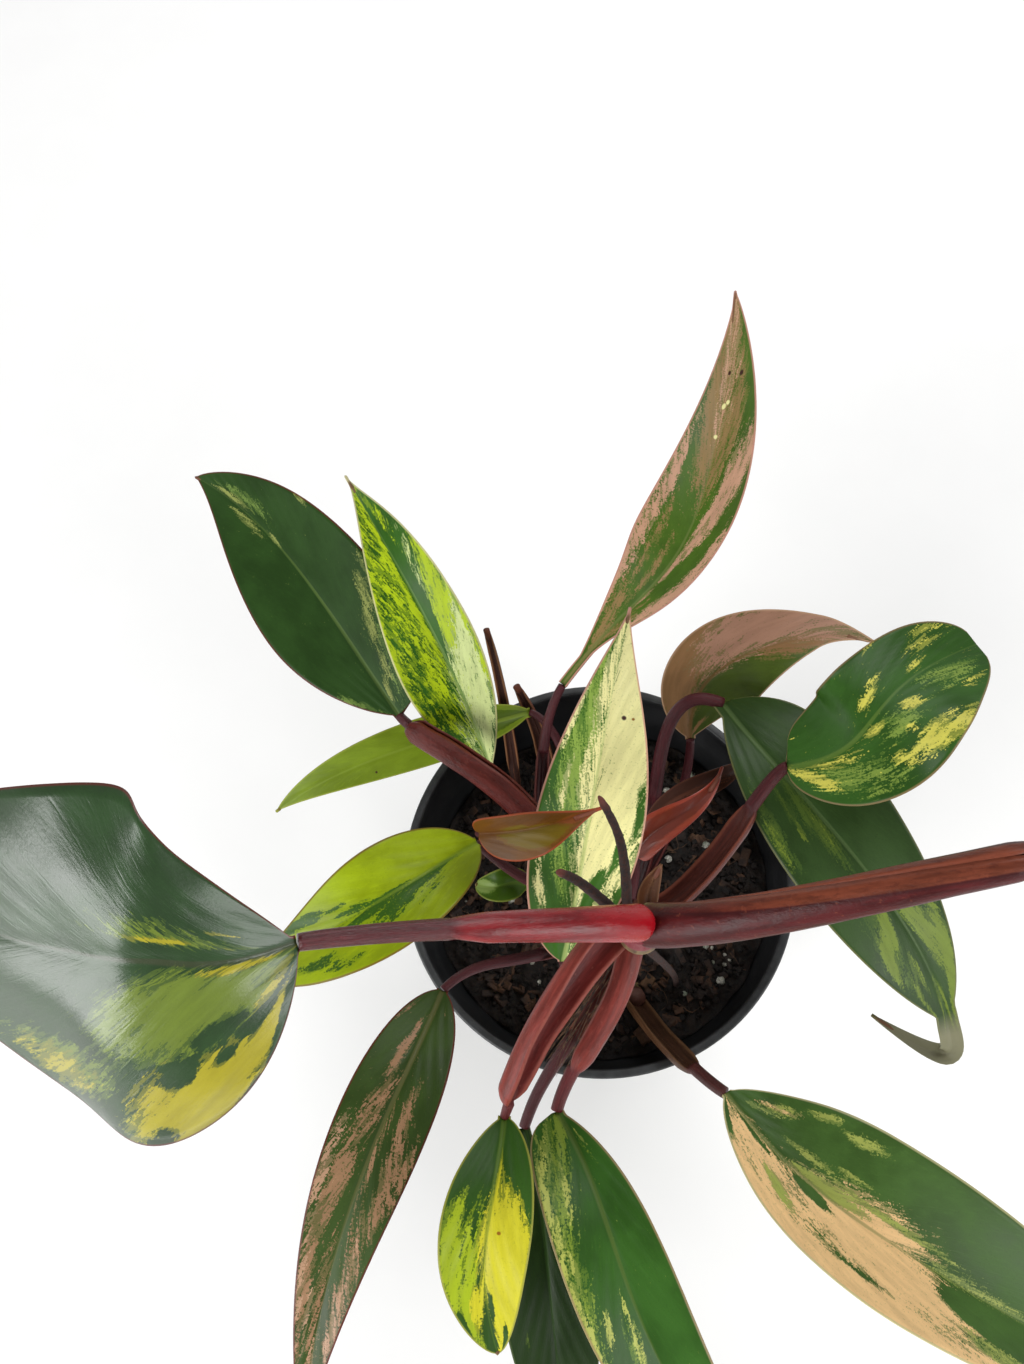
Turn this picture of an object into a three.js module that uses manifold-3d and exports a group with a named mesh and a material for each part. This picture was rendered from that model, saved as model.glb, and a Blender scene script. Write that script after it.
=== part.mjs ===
// Potted variegated philodendron in a plain black nursery pot.
// Millimetres, +Z up. The origin is the middle of the pot's underside.
import * as THREE from "three";
import { mergeVertices } from "three/addons/utils/BufferGeometryUtils.js";
import Module from "manifold-3d";

const wasm = await Module();
wasm.setup();

// Driving sizes of the pot and of the soil in it
const potHeight = 105;
const rimRadius = 60;
const baseRadius = 42;
const neckRadius = 57;
const potWall = 1.2;
const potFloor = 1.6;
const lipHeight = 9;
const lipWidth = 2.6;
const soilTop = 83;
const soilSlope = [0.05, -0.12];
const soilRelief = 1.6;
const drainHoleRadius = 4;
const drainHoleRing = 31;
const drainHoles = 6;

// Clearance between neighbours
const gap = 0.3;

// Blades: thickness, extra thickness along the midrib, where a hooked tip starts to bend,
// the least half width at the base and at the tip, the half width of a curled tail where it starts,
// how far the right edge's waves run ahead of the left's
const bladeThickness = 0.8;
const midribThickness = 0.9;
const hookStart = 0.84;
const leastWidths = [1.5, 0.3];
const tailWidth = 2.2;
const rightPhase = 0.37;

// Petiole sheaths: degrees that the wings reach round, their thickness, what the back adds to it
const wingSpread = 118;
const wingWall = 0.8;
const backWall = 1.4;

// Stems: how much they taper, how high and how short their leaf-scar rings are
const stemTaper = 0.12;
const ringHeight = 0.7;
const ringSharpness = 45;

// How finely pieces are split
const potSides = 40;
const soilRings = 7;
const rootSides = 7;
const rootSegments = 9;
const stemSides = 8;
const rowCrowding = 0.08;

const palette = {
  pot: 0x1b1c1d,
  soil: 0x2b1c14,
  darkGreen: 0x22401f,
  green: 0x3c6b2a,
  lime: 0x9fb52b,
  cream: 0xc9c98a,
  pinkGreen: 0x8a7a55,
  tan: 0xa9805a,
  caramel: 0x9a5a1e,
  bronze: 0x7a2a1c,
  redStem: 0x8c1f30,
  darkRed: 0x5c1822,
  brownSheath: 0x5e2c1e,
  rootBrown: 0x3a1a18,
  stemGreen: 0x54402a,
};

// Stems: route, radius, where the leaf-scar rings stand along it
const stems = [
  {
    name: "main_stem", color: palette.stemGreen, radius: 4.6, segments: 28,
    route: [[5, -6, 58], [6, -14, 105], [8, -24, 155], [7, -28, 204]],
    rings: [0.3, 0.42, 0.52, 0.62, 0.72, 0.84, 0.95],
  },
  {
    name: "side_stem", color: palette.stemGreen, radius: 4, segments: 13,
    route: [[-15, 8, 60], [-16, 9, 85], [-17, 10, 105], [-17, 10, 126]],
    rings: [0.5, 0.7, 0.88],
  },
  {
    name: "front_shoot", color: palette.brownSheath, radius: 3.2, segments: 7,
    route: [[8, -33, 62], [9, -34, 74], [10, -35, 84], [11, -37, 93]],
    rings: [0.75],
  },
];

// Aerial roots: route, radius at the stem and at the tip
const roots = [
  {
    name: "aerial_root_long", color: palette.rootBrown, radius: [1.2, 0.8],
    route: [[5, -24, 190], [3, -15, 200], [1, -9, 208], [-1, -3, 213]],
  },
  {
    name: "aerial_root_short", color: palette.rootBrown, radius: [1.3, 0.9],
    route: [[4, -25, 188], [-2, -21, 198], [-6, -19, 205], [-10, -18, 210]],
  },
  {
    name: "aerial_root_to_soil", color: palette.rootBrown, radius: [1.1, 0.8],
    route: [[9, -26, 150], [17, -30, 130], [22, -32, 105], [24, -34, 78]],
  },
];

// Leaves. rib: four points that the midrib passes through, base to tip.
// face: the way that the upper side looks. left, right: width, base power and tip power of the outline.
// fold: degrees that the halves are raised. cup: how much they curve up, for each mm squared.
// wave: height, count and phase of the edge's waves. rows, columns: how finely it is split.
// hook, curl: how far the last of the tip is bent away, and how far its end is bent back.
const leaves = [
  {
    name: "leaf_left_large", color: palette.darkGreen, columns: 6, rows: 14,
    rib: [[-55, -35, 240], [-77, -42, 247], [-101, -36, 244], [-152, -16, 230]], face: [-0.2, -0.55, 0.8],
    left: [36, 0.72, 0.96], right: [33, 0.87, 0.8], fold: 8, cup: -0.008, wave: [1.5, 2.2, 0.35],
  },
  {
    name: "leaf_right_large", color: palette.darkGreen, columns: 6, rows: 12,
    rib: [[88, -19, 241], [122, -15, 248], [156, -9, 242], [190, -1, 222]], face: [0.1, -0.1, 1],
    left: [26, 0.4, 0.8], right: [28, 0.45, 0.9], fold: 9, cup: -0.006, wave: [1.8, 2, 0.4],
  },
  {
    name: "leaf_dark_upper_left", color: palette.darkGreen, rows: 12,
    rib: [[-57, 40, 139], [-78, 71, 141], [-101, 101, 139], [-131, 129, 129]], face: [-0.34, -0.2, 0.92],
    left: [21, 0.85, 1.15], right: [22, 0.37, 0.8], fold: 8, cup: 0.003, wave: [0.8, 1.5, 0],
  },
  {
    name: "leaf_lime_streaked", color: palette.lime, rows: 12,
    rib: [[-32, 29, 114], [-41, 51, 147], [-55, 77, 164], [-74, 113, 152]], face: [-0.2, -0.44, 0.88],
    left: [14, 0.85, 1.5], right: [13, 1.1, 1.4], fold: 8, cup: 0.016, wave: [0.8, 1.5, 0],
  },
  {
    name: "leaf_plain_lime", color: palette.lime, rows: 10,
    rib: [[-20, 49, 112], [-47, 40, 117], [-76, 31, 114], [-102, 20, 104]], face: [0.07, -0.45, 0.89],
    left: [7.5, 0.75, 1.1], right: [8, 0.6, 0.85], fold: 6, cup: 0.003, wave: [0.6, 1.5, 0],
  },
  {
    name: "leaf_pink_top", color: palette.pinkGreen, rows: 13,
    rib: [[-9, 48, 140], [15, 69, 156], [31, 92, 168], [47, 169, 160]], face: [-0.33, 0, 0.94],
    left: [14, 1.6, 1.35], right: [13.5, 1.6, 0.85], fold: 8, cup: 0.02, wave: [0.8, 1.5, 0],
  },
  {
    name: "leaf_cream_centre", color: palette.cream, rows: 12,
    rib: [[-10, -31, 150], [-4, -5, 166], [2, 24, 174], [10, 61, 164]], face: [0.18, -0.19, 0.97],
    left: [14.5, 0.65, 1.25], right: [13.5, 0.8, 1.2], fold: 8, cup: 0.01, wave: [0.8, 1.5, 0],
  },
  {
    name: "leaf_pink_folded", color: palette.tan, rows: 11,
    rib: [[28, 34, 130], [32, 46, 146], [48, 52, 156], [75, 58, 152]], face: [0, -0.58, 0.81],
    left: [13.5, 0.8, 1], right: [14, 0.9, 1.5], fold: 8, cup: -0.008, wave: [0.8, 1.5, 0],
    hook: [5, -2, -5],
  },
  {
    name: "leaf_oval_right", color: palette.green, rows: 12,
    rib: [[47, 14, 170], [64, 17, 179], [74, 28, 182], [96, 44, 174]], face: [-0.08, 0, 1],
    left: [17, 0.25, 0.36], right: [16.5, 0.45, 0.36], fold: 8, cup: 0.001, wave: [1.6, 2.5, 0],
  },
  {
    name: "leaf_dark_lower_right", color: palette.darkGreen, rows: 13,
    rib: [[35, 37, 152], [56, 5, 158], [82, -28, 142], [94, -60, 112]], face: [0.16, -0.21, 0.96],
    left: [18.8, 0.42, 0.85], right: [17, 1, 0.82], fold: 8, cup: -0.01, wave: [0.8, 1.5, 0],
    hook: [18, -20, -9], curl: [-37, 37, 12],
  },
  {
    name: "leaf_peach_front_right", color: palette.green, columns: 6, rows: 12,
    rib: [[32, -63, 126], [52, -85, 133], [84, -106, 127], [142, -139, 102]], face: [0.3, 0.15, 0.94],
    left: [21, 0.57, 0.5], right: [18, 0.7, 0.65], fold: 8, cup: 0.015, wave: [0.8, 1.5, 0],
  },
  {
    name: "leaf_front_green", color: palette.green, rows: 12,
    rib: [[-12, -66, 158], [-1, -89, 166], [9, -115, 159], [32, -149, 136]], face: [0.14, -0.2, 0.97],
    left: [11, 0.77, 0.55], right: [13, 0.28, 0.55], fold: 8, cup: 0.01, wave: [0.8, 1.5, 0],
  },
  {
    name: "leaf_yellow_ovate", color: palette.lime, rows: 10,
    rib: [[-24, -67, 164], [-26, -82, 170], [-28, -97, 168], [-26, -116, 156]], face: [0, -0.16, 1],
    left: [10, 0.6, 0.6], right: [10.5, 0.7, 0.65], fold: 8, cup: 0.004, wave: [0.8, 1.5, 0],
  },
  {
    name: "leaf_front_plain", color: palette.darkGreen, rows: 10,
    rib: [[-21, -71, 136], [-16, -94, 140], [-14, -116, 136], [-10, -148, 116]], face: [0, 0, 1],
    left: [11.5, 0.9, 0.7], right: [11.5, 0.9, 0.7], fold: 8, cup: 0.002, wave: [0.6, 1.5, 0],
  },
  {
    name: "leaf_pink_streaked", color: palette.pinkGreen, rows: 12,
    rib: [[-41, -38, 150], [-51, -64, 160], [-64, -97, 155], [-75, -142, 132]], face: [0, -0.17, 1],
    left: [11, 0.65, 1.05], right: [11.5, 0.6, 1], fold: 8, cup: -0.004, wave: [0.8, 1.5, 0],
  },
  {
    name: "leaf_lime_striped", color: palette.lime, rows: 11,
    rib: [[-32, -1, 155], [-46, -12, 166], [-63, -22, 166], [-89, -32, 152]], face: [0, 0, 1],
    left: [14, 0.6, 0.5], right: [12.5, 0.64, 0.85], fold: 8, cup: 0.012, wave: [0.8, 1.5, 0],
  },
  {
    name: "leaf_caramel_young", color: palette.caramel, rows: 8,
    rib: [[-30, -2, 172], [-19, -3, 180], [-10, -2, 184], [0, 2, 180]], face: [0, -0.65, 0.76],
    left: [7, 0.36, 1.15], right: [7.5, 0.45, 1.15], fold: 20, cup: 0.006, wave: [0.4, 1.5, 0],
  },
  {
    name: "leaf_small_oval", color: palette.green, rows: 7,
    rib: [[-20, -9, 134], [-24, -9, 138], [-28, -10, 139], [-34, -9, 136]], face: [0.14, -0.13, 0.98],
    left: [4.6, 0.45, 0.48], right: [4.6, 0.4, 0.45], fold: 8, cup: 0.003, wave: [0.3, 1.5, 0],
  },
  {
    name: "leaf_bronze_young", color: palette.bronze, rows: 8,
    rib: [[10, -2, 140], [17, 4, 148], [26, 9, 152], [34, 20, 148]], face: [-0.2, -0.15, 0.97],
    left: [5, 0.25, 1], right: [5, 0.25, 1], fold: 15, cup: 0.003, wave: [0.3, 1.5, 0],
  },
  {
    name: "leaf_brown_withered", color: palette.brownSheath, rows: 7,
    rib: [[14, 8, 124], [22, 15, 132], [32, 19, 136], [41, 25, 134]], face: [-0.07, -0.33, 0.94],
    left: [3.6, 0.6, 0.6], right: [3.6, 0.6, 0.5], fold: 8, cup: 0.003, wave: [0.3, 1.5, 0],
  },
  {
    name: "old_bud_scale", color: palette.brownSheath, rows: 6,
    rib: [[11.6, -18.8, 150], [12.4, -15, 156], [13.5, -12, 161], [15, -9, 165]], face: [-0.5, -0.6, 0.6],
    left: [3, 0.5, 0.9], right: [3, 0.5, 0.9], fold: 20, cup: 0.01, wave: [0.3, 1.5, 0],
  },
];

// Petioles with their winged sheaths. open: the way that the channel opens.
// radius: at the stem and at the blade. sheath: half width at the stem and at its end, share of the length.
// spread: wings that reach further or less far round than most. split: sides and segments.
// closedShare: share of the length, from the foot, before the channel opens.
const petioles = [
  {
    name: "petiole_left_large", color: palette.redStem, radius: [2.8, 1.6], sheath: [3.3, 2.4, 0.47],
    route: [[8, -28, 206], [-9, -30, 220], [-33, -32, 231], [-55, -35, 240]],
    split: [10, 11], open: [0, 0.5, 1], spread: 160,
  },
  {
    name: "petiole_right_large", color: palette.redStem, radius: [2.8, 1.6], sheath: [4.3, 2.6, 0.86],
    route: [[9, -28, 202], [30, -28, 218], [58, -24, 233], [88, -19, 241]],
    split: [10, 11], open: [0, 0.8, 1], spread: 160,
  },
  {
    name: "petiole_dark_upper_left", color: palette.darkRed, radius: [2.4, 1.4], sheath: [3.8, 3.2, 0.84],
    route: [[-17, 11, 118], [-33, 24, 132], [-48, 33, 138], [-57, 40, 139]],
    split: [10, 11], open: [0.8, 0.8, 0.5], spread: 150,
  },
  {
    name: "petiole_lime_streaked", color: palette.darkRed, radius: [1.8, 1.3], sheath: [2, 1.8, 0.5],
    route: [[-17, 11, 96], [-23, 19, 98], [-29, 26, 103], [-32, 29, 114]], open: [0, 1, 0.5],
  },
  {
    name: "petiole_plain_lime", color: palette.darkRed, radius: [1.8, 1.1], sheath: [2.2, 2, 0.5],
    route: [[-16, 10, 98], [-9, 27, 105], [-12, 41, 111], [-20, 49, 112]], open: [-0.3, 0, 1],
  },
  {
    name: "petiole_pink_top", color: palette.darkRed, radius: [2, 1.2], sheath: [2.6, 2, 0.5],
    route: [[-17, 10, 112], [-16, 26, 122], [-14, 38, 132], [-9, 48, 140]], open: [0, -0.6, 1],
  },
  {
    name: "petiole_cream_centre", color: palette.darkRed, radius: [2, 1.4], sheath: [2.4, 2, 0.5],
    route: [[6, -18, 136], [0, -27, 138], [-6, -31, 143], [-10, -31, 150]], open: [0, 0, 1],
  },
  {
    name: "petiole_pink_folded", color: palette.darkRed, radius: [1.8, 1.2], sheath: [2.2, 2, 0.5],
    route: [[6, -11, 94], [20, 8, 98], [27, 24, 112], [28, 34, 130]], open: [-0.5, -0.5, 1],
  },
  {
    name: "petiole_oval_right", color: palette.darkRed, radius: [2.4, 1.5], sheath: [3.8, 3.2, 0.68],
    route: [[8, -18, 142], [24, -11, 152], [38, 5, 163], [47, 14, 170]],
    split: [10, 11], open: [-0.5, 0.5, 1], spread: 96,
  },
  {
    name: "petiole_dark_lower_right", color: palette.darkRed, radius: [2.2, 1.7], sheath: [3, 2.4, 0.45],
    route: [[6, -11, 98], [16, 10, 114], [20, 32, 142], [35, 37, 152]],
    split: [8, 12], open: [-0.5, -0.5, 1],
  },
  {
    name: "petiole_peach_front_right", color: palette.brownSheath,
    radius: [2.2, 1.6], sheath: [3.6, 3.2, 0.7],
    route: [[10, -36, 90], [16, -46, 103], [24, -56, 117], [32, -63, 126]],
    split: [10, 11], open: [0.5, -0.2, 1], spread: 104,
  },
  {
    name: "petiole_front_green", color: palette.redStem, radius: [2.2, 1.5], sheath: [3.4, 2.9, 0.74],
    route: [[7, -23, 170], [2, -41, 166], [-6, -54, 162], [-12, -66, 158]],
    split: [10, 11], open: [-0.8, 0, 0.8],
  },
  {
    name: "petiole_yellow_ovate", color: palette.redStem, radius: [2.4, 1.1], sheath: [4.8, 3.6, 0.86],
    route: [[5, -24, 182], [-11, -43, 177], [-20, -58, 170], [-24, -67, 164]],
    split: [10, 11], open: [1.2, 0.3, 0.8],
  },
  {
    name: "petiole_front_plain", color: palette.darkRed, radius: [2.2, 1.4], sheath: [2.4, 2, 0.5],
    route: [[7, -20, 148], [-3, -42, 149], [-13, -56, 144], [-21, -71, 136]], open: [0, 0, 1],
  },
  {
    name: "petiole_pink_streaked", color: palette.darkRed, radius: [2, 1.1], sheath: [2.4, 2, 0.4],
    route: [[6, -15, 122], [-14, -27, 134], [-29, -31, 144], [-41, -38, 150]], open: [0, 0, 1],
  },
  {
    name: "petiole_lime_striped", color: palette.redStem, radius: [2, 1.2], sheath: [2.4, 2, 0.5],
    route: [[6, -15, 126], [-9, -12, 134], [-21, -8, 142], [-32, -1, 155]], open: [0, 0, 1],
  },
  {
    name: "petiole_caramel_young", color: palette.redStem, radius: [1.6, 1.1], sheath: [2, 1.6, 0.3],
    route: [[-17, 10, 122], [-21, 7, 142], [-26, 2, 160], [-30, -2, 172]], open: [0, -1, 0.3],
  },
  {
    name: "petiole_small_oval", color: palette.redStem, radius: [1.2, 0.9], sheath: [1.4, 1.2, 0.3],
    route: [[-17, 10, 104], [-14, -1, 114], [-15, -7, 125], [-20, -9, 134]], open: [0, -0.3, 1],
  },
  {
    name: "petiole_bronze_young", color: palette.darkRed, radius: [1.6, 1.2], sheath: [1.8, 1.6, 0.3],
    route: [[7, -17, 126], [9, -11, 128], [10, -6, 133], [10, -2, 140]], open: [0, -0.5, 1],
  },
  {
    name: "petiole_brown_withered", color: palette.brownSheath,
    radius: [1.4, 1.1], sheath: [1.6, 1.4, 0.3],
    route: [[6, -13, 108], [10, -4, 110], [12, 3, 116], [14, 8, 124]], open: [0, -0.5, 1],
  },
  {
    name: "dry_sheath_tall", color: palette.brownSheath,
    radius: [1.8, 1], sheath: [2.4, 1.2, 0.97], closedShare: 0.18,
    route: [[-26, 26, 72], [-27, 42, 100], [-29, 56, 119], [-32, 68, 136]], open: [0, -1, 0.5],
  },
  {
    name: "dry_sheath_short", color: palette.brownSheath,
    radius: [2, 1.2], sheath: [3.4, 1.6, 0.97], closedShare: 0.25,
    route: [[-15, 25, 72], [-16, 39, 94], [-19, 48, 106], [-24, 56, 118]], open: [0, -1, 0.5],
  },
];

// Curve that passes through four points at 0, 1/3, 2/3 and 1
function curveThrough(points) {
  const [start, third, twoThirds, end] = points.map((p) => new THREE.Vector3(...p));
  const blend = (a, b, c, d) => new THREE.Vector3()
    .addScaledVector(start, a / 6)
    .addScaledVector(third, b / 6)
    .addScaledVector(twoThirds, c / 6)
    .addScaledVector(end, d / 6);
  return new THREE.CubicBezierCurve3(start, blend(-5, 18, -9, 2), blend(2, -9, 18, -5), end);
}

// Point, tangent, side and normal at s on a curve whose normal looks along face; bend moves the point
// and turns the tangent
function frameAt(curve, face, s, bend) {
  const point = curve.getPoint(s);
  const tangent = curve.getTangent(THREE.MathUtils.clamp(s, 0, 1));
  if (bend) {
    point.add(bend(s));
    tangent.multiplyScalar(curve.getLength()).addScaledVector(bend(s + 0.01).sub(bend(s - 0.01)), 50).normalize();
  }
  const normal = new THREE.Vector3(...face);
  normal.addScaledVector(tangent, -normal.dot(tangent)).normalize();
  const side = new THREE.Vector3().crossVectors(tangent, normal);
  return { point, tangent, side, normal };
}

// Outline of one half: 0 at both ends, 1 at its widest
function outline(s, basePower, tipPower) {
  const widest = basePower / (basePower + tipPower);
  const peak = widest ** basePower * (1 - widest) ** tipPower;
  return s ** basePower * (1 - s) ** tipPower / peak;
}

// Point of a blade's middle surface; s runs base to tip, t from -1 (left) to 1 (right)
function bladePoint(leaf, curve, grow, s, t) {
  const bentAt = (at) => Math.max(at - hookStart, 0) / (1 - hookStart);
  const bend = leaf.hook && ((at) => new THREE.Vector3()
    .addScaledVector(new THREE.Vector3(...leaf.hook), bentAt(at) ** 2)
    .addScaledVector(new THREE.Vector3(...leaf.curl ?? [0, 0, 0]), bentAt(at) ** 3));
  const { point, tangent, side, normal } = frameAt(curve, leaf.face, s, bend);
  const [width, basePower, tipPower] = t < 0 ? leaf.left : leaf.right;
  const bent = bentAt(s);
  const body = leaf.curl ? Math.min(s / hookStart, 1) : s;
  const least = leaf.curl
    ? THREE.MathUtils.lerp(tailWidth, leastWidths[1], bent)
    : THREE.MathUtils.lerp(...leastWidths, s);
  const reach = Math.abs(t) * (Math.max(width * outline(body, basePower, tipPower), least) + grow);
  const lift = THREE.MathUtils.degToRad(leaf.fold);
  const [waveHeight, waveCount, wavePhase] = leaf.wave;
  const turns = waveCount * s + (t < 0 ? wavePhase : wavePhase + rightPhase);
  const wave = waveHeight * t * t * Math.sin(Math.PI * s) * Math.sin(2 * Math.PI * turns);
  return point
    .addScaledVector(tangent, (2 * s - 1) * grow)
    .addScaledVector(side, Math.sign(t) * reach * Math.cos(lift))
    .addScaledVector(normal, reach * Math.sin(lift) + leaf.cup * reach * reach + wave);
}

// Closed blade: both faces share one grid, so they are split into the same triangles
function bladeSolid(leaf, grow) {
  const curve = curveThrough(leaf.rib);
  const columns = leaf.columns ?? 4;
  const grid = new THREE.PlaneGeometry(2, 1, columns, leaf.rows);
  const place = grid.attributes.position;
  const count = place.count;
  const top = [];
  const bottom = [];
  const step = 0.01;
  for (let i = 0; i < count; i += 1) {
    const t = place.getX(i);
    const even = 0.5 + place.getY(i);
    const s = even - rowCrowding * Math.sin(2 * Math.PI * even);
    const along = bladePoint(leaf, curve, grow, Math.min(s + step, 1), t)
      .sub(bladePoint(leaf, curve, grow, Math.max(s - step, 0), t));
    const across = bladePoint(leaf, curve, grow, s, Math.min(t + step, 1))
      .sub(bladePoint(leaf, curve, grow, s, Math.max(t - step, -1)));
    const normal = across.cross(along).normalize();
    const middle = bladePoint(leaf, curve, grow, s, t);
    const rib = midribThickness * (1 - 0.8 * s) * (Math.abs(t) < 0.1 ? 1 : 0);
    top.push(...middle.clone().addScaledVector(normal, bladeThickness / 2 + grow).toArray());
    bottom.push(...middle.addScaledVector(normal, -bladeThickness / 2 - rib - grow).toArray());
  }
  const faces = Array.from(grid.index.array);
  const index = [...faces];
  for (let i = 0; i < faces.length; i += 3) {
    index.push(faces[i] + count, faces[i + 2] + count, faces[i + 1] + count);
  }
  const edge = edgeOfGrid(columns, leaf.rows);
  edge.forEach((a, i) => {
    const b = edge[(i + 1) % edge.length];
    index.push(a, b + count, b, a, a + count, b + count);
  });
  const geometry = new THREE.BufferGeometry();
  geometry.setAttribute("position", new THREE.Float32BufferAttribute([...top, ...bottom], 3));
  geometry.setIndex(index);
  return solidOf(geometry);
}

// Vertex numbers around a plane's edge, anticlockwise seen from its front
function edgeOfGrid(columns, rows) {
  const at = (column, row) => row * (columns + 1) + column;
  const edge = [];
  for (let row = 0; row < rows; row += 1) edge.push(at(0, row));
  for (let column = 0; column < columns; column += 1) edge.push(at(column, rows));
  for (let row = rows; row > 0; row -= 1) edge.push(at(columns, row));
  for (let column = columns; column > 0; column -= 1) edge.push(at(column, 0));
  return edge;
}

// A closed cylinder's vertices moved to where section(s, angle) puts them around the curve
function loft(curve, face, sides, segments, from, to, section) {
  const geometry = new THREE.CylinderGeometry(1, 1, 1, sides, segments);
  const place = geometry.attributes.position;
  for (let i = 0; i < place.count; i += 1) {
    const s = 0.5 + place.getY(i);
    const x = place.getX(i);
    const z = place.getZ(i);
    const { point, side, normal } = frameAt(curve, face, THREE.MathUtils.lerp(from, to, s));
    const [across, up] = Math.hypot(x, z) < 0.5 ? [0, 0] : section(s, Math.atan2(x, z));
    point.addScaledVector(side, -across).addScaledVector(normal, up);
    place.setXYZ(i, point.x, point.y, point.z);
  }
  return solidOf(geometry);
}

function stemSolid(stem, grow) {
  const section = (s, angle) => {
    const ring = stem.rings.reduce((sum, at) => sum + Math.exp(-(((s - at) * ringSharpness) ** 2)), 0);
    const radius = stem.radius * (1 - stemTaper * s) + ringHeight * Math.min(ring, 1) + grow;
    return [radius * Math.sin(angle), -radius * Math.cos(angle)];
  };
  const curve = curveThrough(stem.route);
  const more = grow / curve.getLength();
  return loft(curve, [0, 1, 0], stemSides, stem.segments, -more, 1 + more, section);
}

function rootSolid(root, grow) {
  const section = (s, angle) => {
    const radius = THREE.MathUtils.lerp(root.radius[0], root.radius[1], s) + grow;
    return [radius * Math.sin(angle), -radius * Math.cos(angle)];
  };
  const curve = curveThrough(root.route);
  const more = grow / curve.getLength();
  return loft(curve, [0, 1, 0], rootSides, rootSegments, -more, 1 + more, section);
}

// Round petiole that opens into a channel with thin wings over the sheath's share of its length
function petioleSolid(petiole, grow) {
  const [firstWidth, lastWidth, sheathEnd] = petiole.sheath;
  const sheathStart = petiole.closedShare ?? 0;
  const spread = THREE.MathUtils.degToRad(petiole.spread ?? wingSpread);
  const quarter = Math.PI / 2;
  const section = (s, angle) => {
    const round = THREE.MathUtils.lerp(...petiole.radius, s) + grow;
    const circle = [round * Math.sin(angle), -round * Math.cos(angle)];
    const opening = THREE.MathUtils.smoothstep(s, sheathStart, sheathStart + 0.08);
    const closing = 1 - THREE.MathUtils.smoothstep(s, sheathEnd - 0.06, sheathEnd);
    const outside = Math.abs(angle) <= quarter + 0.01;
    const share = outside ? Math.abs(angle) / quarter : (Math.PI - Math.abs(angle)) / quarter;
    const width = THREE.MathUtils.lerp(firstWidth, lastWidth, Math.min(s / sheathEnd, 1));
    const turn = Math.sign(angle) * share * (spread + grow / width);
    const wall = wingWall + backWall * Math.cos(turn / 2) ** 4;
    const radius = outside ? width + grow : Math.max(width - wall - grow, 0.1);
    const channel = [radius * Math.sin(turn), -radius * Math.cos(turn)];
    return [0, 1].map((axis) => THREE.MathUtils.lerp(circle[axis], channel[axis], opening * closing));
  };
  const curve = curveThrough(petiole.route);
  const length = curve.getLength();
  const to = 1 - (gap - grow) / length;
  const [sides, segments] = petiole.split ?? [8, 8];
  return loft(curve, petiole.open, sides, segments, -grow / length, to, section);
}

// Lathed pot with a stepped rim collar and drain holes clear of the middle of the floor
function potSolid() {
  const neck = potHeight - lipHeight;
  const profile = [
    [0, 0],
    [baseRadius - 1.5, 0],
    [baseRadius, 1.5],
    [neckRadius, neck],
    [rimRadius - 0.9, neck],
    [rimRadius, neck + 1],
    [rimRadius, potHeight - 0.8],
    [rimRadius - 0.8, potHeight],
    [rimRadius - lipWidth + 0.8, potHeight],
    [rimRadius - lipWidth, potHeight - 0.8],
    [neckRadius - potWall, neck - 2],
    [baseRadius - potWall, potFloor],
    [0, potFloor],
  ];
  let pot = solidOf(latheGeometry(profile));
  for (let i = 0; i < drainHoles; i += 1) {
    const angle = 2 * Math.PI * i / drainHoles;
    const hole = new THREE.CylinderGeometry(drainHoleRadius, drainHoleRadius, 10, 14);
    hole.rotateX(Math.PI / 2);
    hole.translate(drainHoleRing * Math.cos(angle), drainHoleRing * Math.sin(angle), 0);
    pot = pot.subtract(solidOf(hole));
  }
  return pot;
}

// Soil filling the pot, its top raised and lowered by a formula
function soilSolid(roots) {
  const floor = potFloor + gap;
  const neck = potHeight - lipHeight;
  const wallAt = (z) => baseRadius - potWall - gap
    + (neckRadius - baseRadius) * (z - floor) / (neck - 2 - floor);
  const profile = [[0, floor], [wallAt(floor) - 0.2, floor]];
  for (let i = 0; i <= soilRings; i += 1) {
    profile.push([neckRadius * (1 - i / soilRings), soilTop]);
  }
  const geometry = latheGeometry(profile);
  const place = geometry.attributes.position;
  for (let i = 0; i < place.count; i += 1) {
    if (place.getZ(i) < floor + 1) continue;
    const x = place.getX(i);
    const y = place.getY(i);
    const z = soilTop + soilHeight(x, y);
    const inset = Math.min(1, wallAt(z) / Math.hypot(x, y));
    place.setXYZ(i, x * inset, y * inset, z);
  }
  return roots.reduce((soil, hole) => soil.subtract(hole), solidOf(geometry));
}

function soilHeight(x, y) {
  const broad = Math.sin(0.11 * x + 1.3) * Math.cos(0.09 * y - 0.6);
  const lumps = Math.sin(0.37 * x - 0.21 * y) * Math.cos(0.33 * y + 0.29 * x + 0.8);
  return soilSlope[0] * x + soilSlope[1] * y + soilRelief * (0.6 * broad + 0.8 * lumps);
}

function latheGeometry(profile) {
  const geometry = new THREE.LatheGeometry(profile.map(([r, z]) => new THREE.Vector2(r, z)), potSides);
  geometry.rotateX(Math.PI / 2);
  return geometry;
}

function solidOf(geometry) {
  const bare = geometry.clone();
  ["normal", "uv"].forEach((name) => bare.deleteAttribute(name));
  const merged = mergeVertices(bare, 1e-4);
  const corners = merged.index.array;
  const whole = [];
  for (let i = 0; i < corners.length; i += 3) {
    const [a, b, c] = corners.slice(i, i + 3);
    if (a !== b && b !== c && c !== a) whole.push(a, b, c);
  }
  const mesh = new wasm.Mesh({
    numProp: 3,
    vertProperties: Float32Array.from(merged.attributes.position.array),
    triVerts: Uint32Array.from(whole),
  });
  return new wasm.Manifold(mesh);
}

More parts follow.
